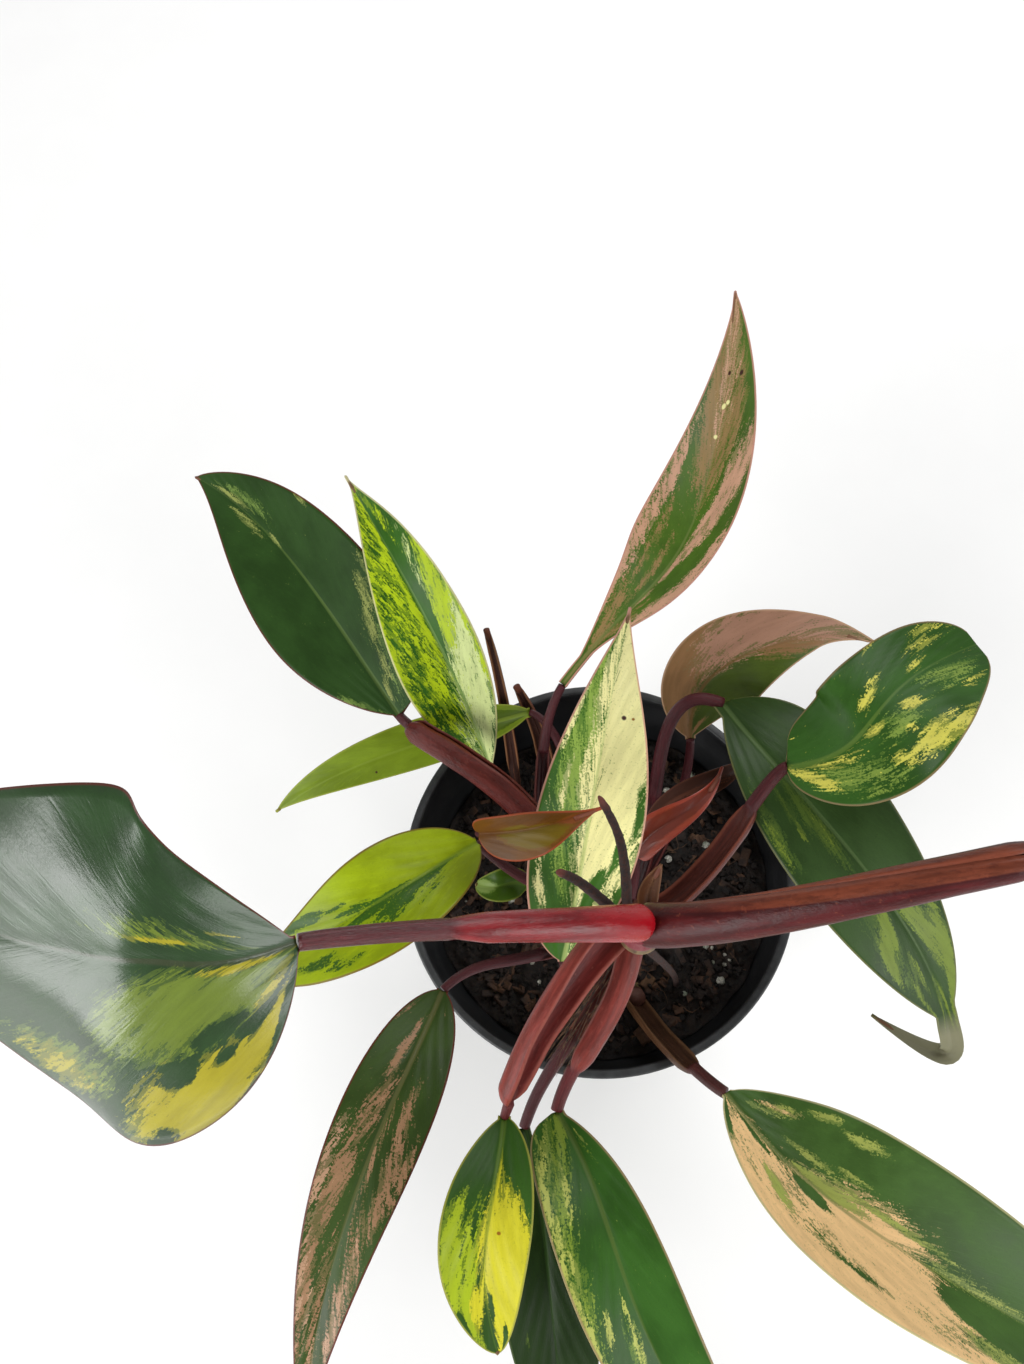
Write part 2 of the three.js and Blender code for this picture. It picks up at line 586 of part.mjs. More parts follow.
function geometryOf(solid) {
  const mesh = solid.getMesh();
  const geometry = new THREE.BufferGeometry();
  geometry.setAttribute("position", new THREE.BufferAttribute(mesh.vertProperties, 3));
  geometry.setIndex(new THREE.BufferAttribute(mesh.triVerts, 1));
  geometry.computeVertexNormals();
  return geometry;
}

// The largest of the bodies that are left when neighbours are cut away
function cutClear(solid, neighbours) {
  const cut = neighbours.reduce((rest, neighbour) => rest.subtract(neighbour), solid);
  return cut.decompose().reduce((best, body) => (body.volume() > best.volume() ? body : best));
}

const group = new THREE.Group();

function addPiece(name, geometry, color, roughness) {
  const material = new THREE.MeshStandardMaterial({ color, roughness, metalness: 0 });
  const mesh = new THREE.Mesh(geometry, material);
  mesh.name = name;
  group.add(mesh);
}

const grown = [];

// Adds a stem, petiole or root, cut clear of those already there and of its own blade
function addGrown(piece, solidAt, roughness) {
  const ownBlades = leaves.filter((leaf) => leaf.name.replace("leaf", "petiole") === piece.name);
  const solid = cutClear(solidAt(piece, 0), [...grown, ...ownBlades.map((leaf) => bladeSolid(leaf, gap))]);
  addPiece(piece.name, geometryOf(solid), piece.color, roughness);
  grown.push(solidAt(piece, gap));
}

addPiece("pot", geometryOf(potSolid()), palette.pot, 0.5);
stems.forEach((stem) => addGrown(stem, stemSolid, 0.6));
petioles.forEach((petiole) => addGrown(petiole, petioleSolid, 0.4));
roots.forEach((root) => addGrown(root, rootSolid, 0.8));
addPiece("potting_mix", geometryOf(soilSolid(grown)), palette.soil, 0.95);
leaves.forEach((leaf) => addPiece(leaf.name, geometryOf(bladeSolid(leaf, 0)), leaf.color, 0.35));

export default group;
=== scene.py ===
import math
import random

import bmesh
import bpy
import numpy as np
from bpy.props import FloatProperty, FloatVectorProperty, IntProperty, PointerProperty
from mathutils import Matrix, Vector, noise


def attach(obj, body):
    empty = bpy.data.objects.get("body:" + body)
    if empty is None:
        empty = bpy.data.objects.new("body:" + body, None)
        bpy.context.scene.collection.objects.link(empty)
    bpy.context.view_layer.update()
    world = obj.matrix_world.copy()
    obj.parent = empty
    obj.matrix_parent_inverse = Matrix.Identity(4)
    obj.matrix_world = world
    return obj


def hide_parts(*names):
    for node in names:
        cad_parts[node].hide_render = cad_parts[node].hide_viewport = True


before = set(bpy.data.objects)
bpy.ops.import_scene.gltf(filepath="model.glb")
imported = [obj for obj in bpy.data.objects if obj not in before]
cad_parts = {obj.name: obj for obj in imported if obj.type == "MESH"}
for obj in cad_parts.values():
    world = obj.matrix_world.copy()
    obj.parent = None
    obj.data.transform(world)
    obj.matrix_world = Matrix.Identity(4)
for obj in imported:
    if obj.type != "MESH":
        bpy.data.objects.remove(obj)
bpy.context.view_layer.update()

bl_info = {
    "name": "Potted variegated philodendron",
    "version": (1, 0, 0),
    "blender": (4, 5, 0),
    "location": "3D View > Sidebar > Philodendron",
    "description": "Builds the leaves, stalks, stems, soil and pot of one young variegated philodendron",
    "category": "Object",
}

MM = 0.001
ROOT = "root"

# The camera, in mm: where it stands, where its right and its top point, its lens and sensor
CAMERA_PLACE = (-5.0, -53.5, 421.6)
CAMERA_RIGHT = (0.9978, 0.0, -0.0668)
CAMERA_UP = (0.0228, 0.9397, 0.3412)
CAMERA_LENS = 27.05
CAMERA_SENSOR = 36.0

# The pot and its soil, in mm
POT_HEIGHT = 105.0
RIM_RADIUS = 60.0
BASE_RADIUS = 42.0
NECK_RADIUS = 57.0
POT_WALL = 1.2
LIP_HEIGHT = 9.0
LIP_WIDTH = 2.6
SOIL_TOP = 83.0
SOIL_SLOPE = (0.05, -0.12)
SOIL_RELIEF = 1.6
DRAIN_HOLE_RADIUS = 4.0
DRAIN_HOLE_RING = 31.0
DRAIN_HOLES = 6
POT_FLOOR = 1.6
SOIL_GAP = 0.3
SOIL_FLOOR = POT_FLOOR + SOIL_GAP
PERLITE_HEAP = (40, -27)
HEAP_RADIUS = 7.0
HEAP_GRAINS = 8

# What lies on the soil, in mm; lengths and radii as least, most and most common
CHIP_LENGTHS = (1.6, 8.5, 2.6)
CHIP_WIDTHS = (0.9, 3.0)
CHIP_DEPTHS = (0.5, 1.5)
CHIP_BEVEL = 0.22
CHIP_JITTER = 0.4
CRUMB_RADII = (0.3, 1.5, 0.5)
CRUMB_JITTER = 0.22
GRAIN_RADII = (0.5, 0.6, 0.7, 0.9, 1.3)
STRAND_SIDES = 4
FULL_TURN = 6.28

# How blades are shaped, in mm, degrees and shares of their length
FOLD = 8
WAVE = (0.8, 1.5, 0)
RIGHT_PHASE = 0.37
HOOK_START = 0.84
LEAST_WIDTHS = (1.5, 0.3)
TAIL_WIDTH = 3.0
TAIL_TURN = -20
MIDRIB_THICKNESS = 0.9
MIDRIB_WIDTH = 1.1
GROOVE_WIDTH = 0.9
EDGE_WIDTH = 1.5
EDGE_SHARE = 0.45
SWELL_LENGTH = 22
SWELL_WIDTH = 15
COLUMN_CROWDING = 1.35
ROW_CROWDING = 0.08

# How their patches and side veins lie
PATCH_LEAN = 0.25
NO_PATCH = -1.8
PATCH_EDGE = 0.07
HALO_START = -0.45
HALO_END = -0.25
VEIN_SLOPE = 3.2

# How stalks and stems are shaped, in mm and degrees
UPRIGHT = (0, 0, 1)
WING_SPREAD = 118
WING_WALL = 0.8
BACK_WALL = 1.4
STEM_TAPER = 0.12
RING_HEIGHT = 0.7
RING_SHARPNESS = 45.0
SHEATH_OPENS = 0.08
SHEATH_CLOSES = 0.09
ROOT_SIDES = 16
ROOT_BUMPS = 0.14


def paint(red, green, blue):
    """Linear colour of a display colour given as 0 to 255."""
    shares = (red / 255, green / 255, blue / 255)
    return tuple(c / 12.92 if c <= 0.04 else ((c + 0.055) / 1.055) ** 2.4 for c in shares)


DARK_GREEN = paint(34, 62, 17)
GREEN = paint(48, 90, 22)
OLIVE = paint(118, 138, 26)
LIME = paint(164, 186, 20)
# Pale lime; on the lime-streaked blade it is partly its colour and partly a painted glare
PALE_LIME_AND_GLARE = paint(196, 208, 140)
YELLOW = paint(190, 184, 38)
GOLD = paint(160, 150, 28)
CREAM = paint(232, 226, 158)
PEACH = paint(240, 200, 142)
PINK = paint(194, 150, 122)
TAN_PINK = paint(144, 110, 80)
CARAMEL = paint(138, 92, 20)
WITHERED = paint(58, 30, 20)
RED_MARGIN = paint(96, 34, 30)
PALE_MARGIN = paint(196, 190, 140)
PINK_MARGIN = paint(196, 140, 124)
GREY_TIP = paint(128, 126, 100)
UNDERSIDE_TINT = (0.28, 0.24, 0.14)
UNDERSIDE_MIDRIB = paint(120, 62, 50)
DRY_FOOT = paint(66, 40, 30)

# Blades. rib: four points of the midrib. face: where the upper side looks. left, right: width and the
# outline's two powers. fold: how far the halves rise, in degrees. cup: their curve, for each mm squared.
# wave: height, count and phase. hook, curl: how far the tip bends away. swell: strength of the soft swells.
# rib_shift: how far the visible midrib swings to one side, and over which share of the blade.
# colors: ground, light, blush. light, blush, bare: soft patches of those colours, and of bare ground, as
# (place along, place across, half length, half width, strength). spots: place along, place across, radius
# in mm and colour. margin, ribline: colours of the edge and the midrib.
# grain: how ragged the patches are. dots: how speckled. drawn: how far their streaks are drawn out.
# veins: how steeply the side veins run towards the tip. sheen: strength of the waxy gloss.
LEAVES = {
    "leaf_left_large": dict(
        rib=((-55, -35, 240), (-77, -42, 247), (-101, -36, 244), (-152, -16, 230)), face=(-0.2, -0.55, 0.8),
        left=(36, 0.72, 0.96), right=(33, 0.87, 0.8), cup=-0.008, wave=(1.5, 2.2, 0.35),
        colors=(paint(30, 60, 20), GOLD, paint(100, 118, 34)), margin=RED_MARGIN, ribline=paint(54, 58, 34),
        light=((0.22, -0.82, 0.18, 0.24, 1.1), (0.07, -0.45, 0.06, 0.3, 0.1), (0.12, -0.07, 0.12, 0.04, 0.4),
               (0.62, -0.75, 0.12, 0.2, 0.1), (0.28, 0.18, 0.14, 0.02, 0.6), (0.42, 0.28, 0.12, 0.02, 0.3),
               (0.12, 0.34, 0.1, 0.03, 0), (0.36, -0.7, 0.08, 0.2, 0.3)),
        blush=((0.26, -0.28, 0.22, 0.22, 0.9), (0.36, -0.85, 0.1, 0.2, 0.5), (0.6, -0.7, 0.14, 0.25, 0.3),
               (0.3, 0.2, 0.24, 0.06, 0.3), (0.08, -0.3, 0.08, 0.3, 0.4), (0.3, 0.25, 0.26, 0.14, -0.1)),
        bare=((0.19, -0.44, 0.07, 0.06, 0.8), (0.1, -0.56, 0.06, 0.05, 0.8), (0.3, -0.6, 0.05, 0.07, 0.7),
              (0.02, -0.8, 0.05, 0.3, 0.7), (0.14, -0.97, 0.06, 0.06, 0.3), (0.36, -0.97, 0.04, 0.07, 0.6),
              (0.18, -0.6, 0.03, 0.05, 0.5)),
        veins=1.6, sheen=0.5, swell=3.2, rib_shift=(0.13, 0.75), grain=1, dots=0.35, drawn=1.8,
    ),
    "leaf_right_large": dict(
        rib=((88, -19, 241), (122, -15, 248), (156, -9, 242), (190, -1, 222)), face=(0.1, -0.1, 1),
        left=(26, 0.4, 0.8), right=(28, 0.45, 0.9), fold=9, cup=-0.006, wave=(1.8, 2, 0.4),
        colors=(paint(30, 60, 20), GOLD, paint(100, 118, 34)), margin=RED_MARGIN, ribline=paint(54, 58, 34),
        light=((0.3, 0.5, 0.16, 0.24, 0.8), (0.55, -0.35, 0.2, 0.1, 0.4), (0.7, 0.4, 0.12, 0.2, 0.2)),
        blush=((0.45, 0.2, 0.14, 0.08, 0.5), (0.3, 0.3, 0.2, 0.2, 0.4)), veins=1.8,
        sheen=0.4, dots=0.35, drawn=1.8,
    ),
    "leaf_dark_upper_left": dict(
        rib=((-57, 40, 139), (-78, 71, 141), (-101, 101, 139), (-131, 129, 129)), face=(-0.34, -0.2, 0.92),
        left=(21, 0.85, 1.15), right=(22, 0.37, 0.8), cup=0.003,
        colors=(DARK_GREEN, paint(134, 142, 74), paint(102, 126, 58)), margin=RED_MARGIN,
        ribline=paint(84, 106, 50),
        light=((0.07, 0.12, 0.03, 0.06, 0.7), (0.13, 0.3, 0.05, 0.1, 0.1), (0.23, 0.4, 0.05, 0.12, 0.3),
               (0.31, 0.62, 0.05, 0.12, 0.3), (0.36, 0.88, 0.05, 0.1, 0.1), (0.64, 0.02, 0.03, 0.04, 0.8),
               (0.85, 0.14, 0.08, 0.1, 0.4), (0.75, -0.14, 0.08, 0.12, 0), (0.63, 0.97, 0.03, 0.05, 0.8)),
        grain=1.3,
        blush=((0.08, -0.85, 0.06, 0.15, 0.3), (0.15, 0.5, 0.12, 0.35, -0.1), (0.8, 0.3, 0.12, 0.2, 0)),
    ),
    "leaf_lime_streaked": dict(
        rib=((-32, 29, 114), (-41, 51, 147), (-55, 77, 164), (-74, 113, 152)), face=(-0.2, -0.44, 0.88),
        left=(14, 0.85, 1.5), right=(13, 1.1, 1.4), cup=0.016,
        colors=(paint(44, 88, 14), LIME, PALE_LIME_AND_GLARE), margin=PALE_MARGIN, ribline=paint(110, 140, 70),
        light=((0.5, -0.5, 0.6, 0.7, -0.2), (0.45, -0.98, 0.3, 0.1, 0.8), (0.72, -0.86, 0.14, 0.16, 0.3),
               (0.5, -0.12, 0.16, 0.1, 0.8), (0.68, -0.16, 0.14, 0.1, 0.8), (0.82, -0.3, 0.1, 0.2, 0.1),
               (0.54, 0.6, 0.08, 0.5, 0.9), (0.42, 0.95, 0.14, 0.1, 0.5), (0.86, 0.3, 0.2, 0.7, -0.2),
               (0.9, -0.2, 0.08, 0.5, 0.3), (0.2, 1, 0.3, 0.03, 0.6), (0.3, -0.5, 0.08, 0.12, 0.4)),
        # The blush patches on the right half near the base are a painted glare in pale lime.
        blush=((0.26, 0.45, 0.28, 0.5, 1.2), (0.07, -0.25, 0.1, 0.3, 0.4), (0.34, 0.14, 0.16, 0.12, 0.7)),
        bare=((0.34, 0.02, 0.12, 0.04, 0.4), (0.64, 0.12, 0.26, 0.16, 1.1), (0.42, -0.5, 0.06, 0.1, 0)),
        grain=2, dots=1,
    ),
    "leaf_plain_lime": dict(
        rib=((-20, 49, 112), (-47, 40, 117), (-76, 31, 114), (-102, 20, 104)), face=(0.07, -0.45, 0.89),
        left=(7.5, 0.75, 1.1), right=(8, 0.6, 0.85), fold=6, cup=0.003, wave=(0.6, 1.5, 0), grain=0.25,
        colors=(paint(110, 132, 20), LIME, paint(76, 98, 14)), margin=paint(140, 150, 50),
        ribline=paint(126, 146, 44), blush=((0.02, 0, 0.16, 1, 0.6),), spots=((0.59, -0.6, 0.5, WITHERED),),
    ),
    "leaf_pink_top": dict(
        rib=((-9, 48, 140), (15, 69, 156), (31, 92, 168), (47, 169, 160)), face=(-0.33, 0, 0.94),
        left=(14, 1.6, 1.35), right=(13.5, 1.6, 0.85), cup=0.02,
        colors=(paint(66, 96, 24), PINK, paint(142, 116, 72)), margin=PINK_MARGIN,
        ribline=paint(110, 122, 64),
        light=((0.4, -1, 0.36, 0.12, 0.8), (0.5, -0.84, 0.16, 0.15, 0.5), (0.7, -0.8, 0.12, 0.14, 0.5),
               (0.36, -0.85, 0.1, 0.1, 0.1), (0.47, 0.12, 0.09, 0.07, 0.8), (0.57, 0.26, 0.07, 0.12, 0.7),
               (0.67, 0.5, 0.08, 0.24, 0.9), (0.73, 0.82, 0.05, 0.2, 0.8), (0.36, 0.82, 0.13, 0.24, 0.8),
               (0.5, 0.85, 0.1, 0.2, 0.1), (0.32, 0.1, 0.06, 0.08, 0.2), (0.9, 0.1, 0.12, 0.8, 0.1)),
        blush=((0.2, -0.5, 0.13, 0.45, 0.2), (0.4, -0.25, 0.16, 0.1, 0.3), (0.5, -0.55, 0.2, 0.12, 0),
               (0.84, -0.3, 0.12, 0.8, 0.8), (0.93, 0, 0.14, 1.2, 1.2), (0.3, 0.35, 0.06, 0.2, 0.1),
               (0.82, 0.4, 0.07, 0.4, 0.5), (0.06, 0, 0.1, 1, 0.5)),
        bare=((0.4, 0.42, 0.16, 0.08, 0.5),), grain=1.4,
        spots=((0.84, 0.05, 0.9, CREAM), (0.845, 0.16, 0.7, CREAM), (0.79, -0.05, 0.7, CREAM),
               (0.885, 0.55, 0.8, WITHERED), (0.89, 0.1, 0.6, WITHERED)),
    ),
    "leaf_cream_centre": dict(
        rib=((-10, -31, 150), (-4, -5, 166), (2, 24, 174), (10, 61, 164)), face=(0.18, -0.19, 0.97),
        left=(14.5, 0.65, 1.25), right=(13.5, 0.8, 1.2), cup=0.01,
        colors=(paint(54, 96, 26), CREAM, paint(136, 164, 70)), margin=PINK_MARGIN,
        ribline=paint(170, 186, 110),
        light=((0.64, 0.5, 0.42, 0.56, 1.3), (0.23, 0.06, 0.08, 0.08, 0.7), (0.2, -0.75, 0.07, 0.14, 0.2),
               (0.36, -0.82, 0.12, 0.14, 0), (0.56, -0.28, 0.12, 0.14, 0.1), (0.68, -0.93, 0.1, 0.1, 0.4),
               (0.86, -0.3, 0.18, 0.42, 0.8), (0.5, -0.6, 0.1, 0.1, 0), (0.3, 0.85, 0.06, 0.12, 0.6)),
        blush=((0.52, -0.5, 0.16, 0.4, 0.4), (0.28, -0.4, 0.1, 0.3, 0), (0.68, -0.4, 0.1, 0.5, 0.6),
               (0.82, -0.85, 0.1, 0.2, 0.5)),
        bare=((0.22, 0.34, 0.06, 0.2, 0.8), (0.34, 0.6, 0.08, 0.1, 0.5), (0.46, 0.88, 0.1, 0.1, 0.4)),
        spots=((0.7, 0.45, 0.8, WITHERED), (0.7, 0.7, 0.5, CARAMEL)), grain=1.2, drawn=1.6,
    ),
    "leaf_pink_folded": dict(
        rib=((28, 34, 130), (32, 46, 146), (48, 52, 156), (75, 58, 152)), face=(0, -0.58, 0.81),
        left=(13.5, 0.8, 1), right=(14, 0.9, 1.5), cup=-0.008, hook=(5, -2, -5),
        colors=(paint(62, 78, 20), paint(160, 120, 98), paint(132, 98, 64)), margin=paint(176, 140, 110),
        ribline=paint(120, 84, 48), grain=0.8,
        light=((0.68, -0.6, 0.28, 0.6, 0.8), (0.92, 0.3, 0.12, 1, 0.4)),
        blush=((0.2, -0.6, 0.4, 0.6, 0.9), (0.86, 0.3, 0.2, 0.9, 0.7), (0.06, 0.4, 0.05, 0.2, 0.4)),
        bare=((0.6, -0.5, 0.12, 0.3, -0.25),),
    ),
    "leaf_oval_right": dict(
        rib=((47, 14, 170), (64, 17, 179), (74, 28, 182), (96, 44, 174)), face=(-0.08, 0, 1),
        left=(17, 0.25, 0.36), right=(16.5, 0.45, 0.36), cup=0.001, wave=(1.6, 2.5, 0),
        colors=(paint(46, 84, 24), paint(202, 196, 84), paint(120, 144, 60)), margin=paint(130, 110, 74),
        ribline=paint(96, 122, 48), rib_shift=(-0.16, 1),
        light=((0.54, -0.28, 0.07, 0.1, 0.6), (0.63, -0.42, 0.05, 0.07, 0.3), (0.8, -0.2, 0.05, 0.12, 0.1),
               (0.85, -0.5, 0.06, 0.14, 0.1), (0.9, -0.82, 0.06, 0.14, 0), (0.73, -0.97, 0.03, 0.06, 0.7),
               (0.05, 0.35, 0.06, 0.3, 0.6), (0.18, 0.15, 0.16, 0.14, -0.2), (0.42, 0.1, 0.05, 0.07, 0.6),
               (0.65, 0.25, 0.04, 0.09, 0.7), (0.58, 0.74, 0.11, 0.15, 0.9), (0.71, 0.92, 0.1, 0.1, 0.7),
               (0.43, 0.66, 0.05, 0.2, 0), (0.9, 0.7, 0.04, 0.15, -0.1), (0.55, 0.45, 0.03, 0.07, 0.2)),
        grain=1.5,
        blush=((0.2, 0.5, 0.2, 0.4, 0), (0.55, 0.3, 0.14, 0.2, 0), (0.85, 0.3, 0.1, 0.3, -0.1)),
    ),
    "leaf_dark_lower_right": dict(
        rib=((35, 37, 152), (56, 5, 158), (82, -28, 142), (94, -60, 112)), face=(0.16, -0.21, 0.96),
        left=(18.8, 0.42, 0.85), right=(17, 1, 0.82), cup=-0.01,
        hook=(18, -20, -9), curl=(-37, 37, 12),
        colors=(paint(44, 68, 26), paint(106, 124, 42), paint(76, 98, 36)), margin=paint(110, 112, 70),
        ribline=paint(84, 106, 60),
        light=((0.62, -0.32, 0.07, 0.24, 1), (0.72, -0.75, 0.12, 0.22, 1), (0.8, -0.25, 0.03, 0.3, 0.7),
               (0.36, 0.12, 0.06, 0.1, 0), (0.34, 0.43, 0.02, 0.05, 0.8), (0.33, 0.86, 0.08, 0.1, 0.1),
               (0.58, 0.28, 0.035, 0.16, 0.9), (0.64, 0.62, 0.035, 0.2, 0.9), (0.71, 0.3, 0.05, 0.12, 0.3),
               (0.77, 0.7, 0.03, 0.3, 0.4), (0.82, 0.2, 0.02, 0.4, 0.5)),
        blush=((0.33, 0.15, 0.12, 0.16, 0.4), (0.62, 0.5, 0.12, 0.4, 0), (0.3, 0.8, 0.1, 0.15, 0.3),
               (0.3, 0.4, 0.06, 0.1, 0.2)),
    ),
    "leaf_peach_front_right": dict(
        rib=((32, -63, 126), (52, -85, 133), (84, -106, 127), (142, -139, 102)), face=(0.3, 0.15, 0.94),
        left=(21, 0.57, 0.5), right=(18, 0.7, 0.65), cup=0.015,
        colors=(paint(64, 96, 38), paint(160, 170, 84), PEACH), margin=PALE_MARGIN,
        ribline=paint(112, 124, 66),
        light=((0.24, -0.85, 0.05, 0.07, 0.7), (0.38, -0.78, 0.07, 0.07, 0.6), (0.13, -0.72, 0.05, 0.08, 0.2),
               (0.4, -0.38, 0.07, 0.05, 0.4), (0.27, -0.28, 0.1, 0.06, 0.3), (0.5, -0.2, 0.2, 0.05, 0.4),
               (0.36, -0.07, 0.1, 0.07, 0.9), (0.1, -0.5, 0.06, 0.2, 0), (0.25, 0.5, 0.05, 0.14, 0.6),
               (0.7, -0.05, 0.12, 0.1, 0.1), (0.75, 0.7, 0.06, 0.2, 0.2)),
        blush=((0.48, 0.25, 0.17, 0.45, 1.2), (0.4, 0.9, 0.34, 0.22, 1.3), (0.2, 0.4, 0.14, 0.4, 0.8),
               (0.09, 0.6, 0.08, 0.3, 0.5), (0.5, -0.1, 0.12, 0.08, 0.8), (0.12, -0.65, 0.06, 0.15, 0.1)),
        bare=((0.33, 0.12, 0.06, 0.1, 0.9), (0.48, 0.66, 0.09, 0.06, 0.15), (0.03, 0.75, 0.06, 0.2, 0.8),
              (0.12, 0.15, 0.1, 0.12, 0.3), (0.74, 0.35, 0.08, 0.22, 1)),
    ),
    "leaf_front_green": dict(
        rib=((-12, -66, 158), (-1, -89, 166), (9, -115, 159), (32, -149, 136)), face=(0.14, -0.2, 0.97),
        left=(11, 0.77, 0.55), right=(13, 0.28, 0.55), cup=0.01,
        colors=(paint(44, 84, 20), paint(172, 178, 84), paint(118, 140, 44)), margin=paint(150, 130, 90),
        ribline=paint(84, 104, 44),
        light=((0.1, 0.7, 0.1, 0.2, 0), (0.26, 0.9, 0.2, 0.12, 0.4), (0.22, 0.5, 0.1, 0.12, -0.2),
               (0.48, 0.95, 0.14, 0.09, 0.6), (0.56, 0.62, 0.03, 0.1, 0.7), (0.4, 0.78, 0.05, 0.07, 0.5),
               (0.64, 0.25, 0.05, 0.14, 0.1), (0.55, 0.2, 0.05, 0.06, -0.1), (0.1, -0.48, 0.03, 0.1, 0.3)),
        blush=((0.15, 0.6, 0.18, 0.4, 0.2), (0.4, 0.8, 0.2, 0.24, 0.1), (0.12, -0.35, 0.03, 0.14, 0.4),
               (0.03, 0.15, 0.06, 0.3, 0.4), (0.65, 0.35, 0.1, 0.2, -0.1)), grain=1.3,
    ),
    "leaf_yellow_ovate": dict(
        rib=((-24, -67, 164), (-26, -82, 170), (-28, -97, 168), (-26, -116, 156)), face=(0, -0.16, 1),
        left=(10, 0.6, 0.6), right=(10.5, 0.7, 0.65), cup=0.004,
        colors=(paint(42, 76, 16), YELLOW, paint(150, 168, 28)), margin=paint(150, 150, 60),
        ribline=paint(92, 118, 40),
        light=((0.68, -0.55, 0.28, 0.55, 1.4), (0.34, -0.08, 0.16, 0.06, 0.9), (0.82, 0.3, 0.07, 0.3, 0.6)),
        blush=((0.62, 0.76, 0.24, 0.26, 0.7), (0.6, 0.3, 0.24, 0.3, 0.3), (0.84, 0.6, 0.12, 0.4, 0.6)),
        bare=((0.95, -0.75, 0.05, 0.22, 0.8), (0.82, -0.16, 0.08, 0.14, 0.2), (0.5, 0.28, 0.12, 0.1, 0.1),
              (0.88, 0.9, 0.05, 0.14, 0.7)),
        spots=((0.51, -0.27, 0.6, CARAMEL),), grain=0.75,
    ),
    "leaf_front_plain": dict(
        rib=((-21, -71, 136), (-16, -94, 140), (-14, -116, 136), (-10, -148, 116)), face=(0, 0, 1),
        left=(11.5, 0.9, 0.7), right=(11.5, 0.9, 0.7), cup=0.002, wave=(0.6, 1.5, 0), grain=0.6,
        colors=(paint(26, 48, 8), paint(84, 104, 36), GREEN), margin=paint(60, 74, 34),
        ribline=paint(50, 78, 30),
        light=((0.68, 0.6, 0.03, 0.06, 0.3),),
    ),
    "leaf_pink_streaked": dict(
        rib=((-41, -38, 150), (-51, -64, 160), (-64, -97, 155), (-75, -142, 132)), face=(0, -0.17, 1),
        left=(11, 0.65, 1.05), right=(11.5, 0.6, 1), cup=-0.004,
        colors=(paint(48, 68, 22), paint(170, 134, 106), TAN_PINK), margin=RED_MARGIN,
        ribline=paint(96, 94, 54),
        light=((0.53, 0.85, 0.12, 0.16, 0.2), (0.74, 0.85, 0.12, 0.14, 0.1), (0.8, 0.5, 0.06, 0.16, 0),
               (0.76, -0.6, 0.12, 0.3, -0.1), (0.9, 0, 0.12, 0.8, -0.1)),
        blush=((0.2, 0.3, 0.07, 0.12, 0.6), (0.38, 0.35, 0.1, 0.28, 0.1), (0.56, 0.55, 0.12, 0.3, 0.4),
               (0.5, -0.6, 0.12, 0.22, 0.3), (0.36, -0.4, 0.1, 0.14, 0.1), (0.47, -0.85, 0.08, 0.12, 0.2),
               (0.45, -0.1, 0.12, 0.08, 0), (0.74, -0.6, 0.14, 0.4, 0.2), (0.72, 0.75, 0.16, 0.25, 0.4),
               (0.1, 0.85, 0.03, 0.1, 0.3), (0.75, 0.2, 0.12, 0.2, 0), (0.9, 0, 0.1, 1, 0.2)),
        grain=1.6, drawn=1.5,
    ),
    "leaf_lime_striped": dict(
        rib=((-32, -1, 155), (-46, -12, 166), (-63, -22, 166), (-89, -32, 152)), face=(0, 0, 1),
        left=(14, 0.6, 0.5), right=(12.5, 0.64, 0.85), cup=0.012,
        colors=(paint(134, 152, 5), paint(48, 82, 14), paint(98, 120, 12)), margin=paint(110, 84, 30),
        ribline=paint(104, 126, 30),
        light=((0.2, -0.05, 0.1, 0.06, 1), (0.33, -0.12, 0.12, 0.11, 1), (0.46, -0.22, 0.12, 0.18, 0.9),
               (0.58, -0.1, 0.14, 0.12, 0.9), (0.34, -0.42, 0.1, 0.14, 0.2), (0.5, -0.4, 0.08, 0.12, 0.4),
               (0.7, -0.75, 0.07, 0.12, 0.4), (0.8, -0.6, 0.08, 0.14, 0.7), (0.5, 0.04, 0.16, 0.05, 0.6),
               (0.66, 0.16, 0.09, 0.12, 0.3), (0.7, 0.38, 0.06, 0.08, 0.4), (0.83, 0.68, 0.06, 0.26, 1.1),
               (0.78, 0.45, 0.04, 0.08, 0.7), (0.95, 0, 0.07, 0.8, 0.6)),
        blush=((0.35, -0.25, 0.2, 0.2, 0.2), (0.65, 0.1, 0.14, 0.2, 0.2)),
    ),
    "leaf_caramel_young": dict(
        rib=((-30, -2, 172), (-19, -3, 180), (-10, -2, 184), (0, 2, 180)), face=(0, -0.65, 0.76),
        left=(7, 0.36, 1.15), right=(7.5, 0.45, 1.15), fold=20, cup=0.006, wave=(0.4, 1.5, 0), grain=0.3,
        colors=(paint(96, 58, 8), paint(104, 84, 6), paint(124, 66, 24)), margin=paint(150, 66, 36),
        ribline=paint(96, 56, 14),
        light=((0.45, 0.3, 0.26, 0.45, 1), (0.3, -0.2, 0.14, 0.2, 0.4)), blush=((0.9, 0, 0.24, 1, 1),),
    ),
    "leaf_small_oval": dict(
        rib=((-20, -9, 134), (-24, -9, 138), (-28, -10, 139), (-34, -9, 136)), face=(0.14, -0.13, 0.98),
        left=(4.6, 0.45, 0.48), right=(4.6, 0.4, 0.45), cup=0.003, wave=(0.3, 1.5, 0), grain=0.4,
        colors=(paint(62, 92, 14), paint(124, 146, 74), OLIVE), margin=paint(120, 130, 50),
        # The light patch over the tip is a painted highlight.
        ribline=paint(90, 116, 40), light=((0.86, 0, 0.24, 1, 0.6),),
    ),
    "leaf_bronze_young": dict(
        rib=((10, -2, 140), (17, 4, 148), (26, 9, 152), (34, 20, 148)), face=(-0.2, -0.15, 0.97),
        left=(5, 0.25, 1), right=(5, 0.25, 1), fold=15, cup=0.003, wave=(0.3, 1.5, 0), grain=0.3,
        colors=(paint(116, 42, 24), paint(158, 62, 40), paint(92, 34, 20)), margin=paint(150, 56, 40),
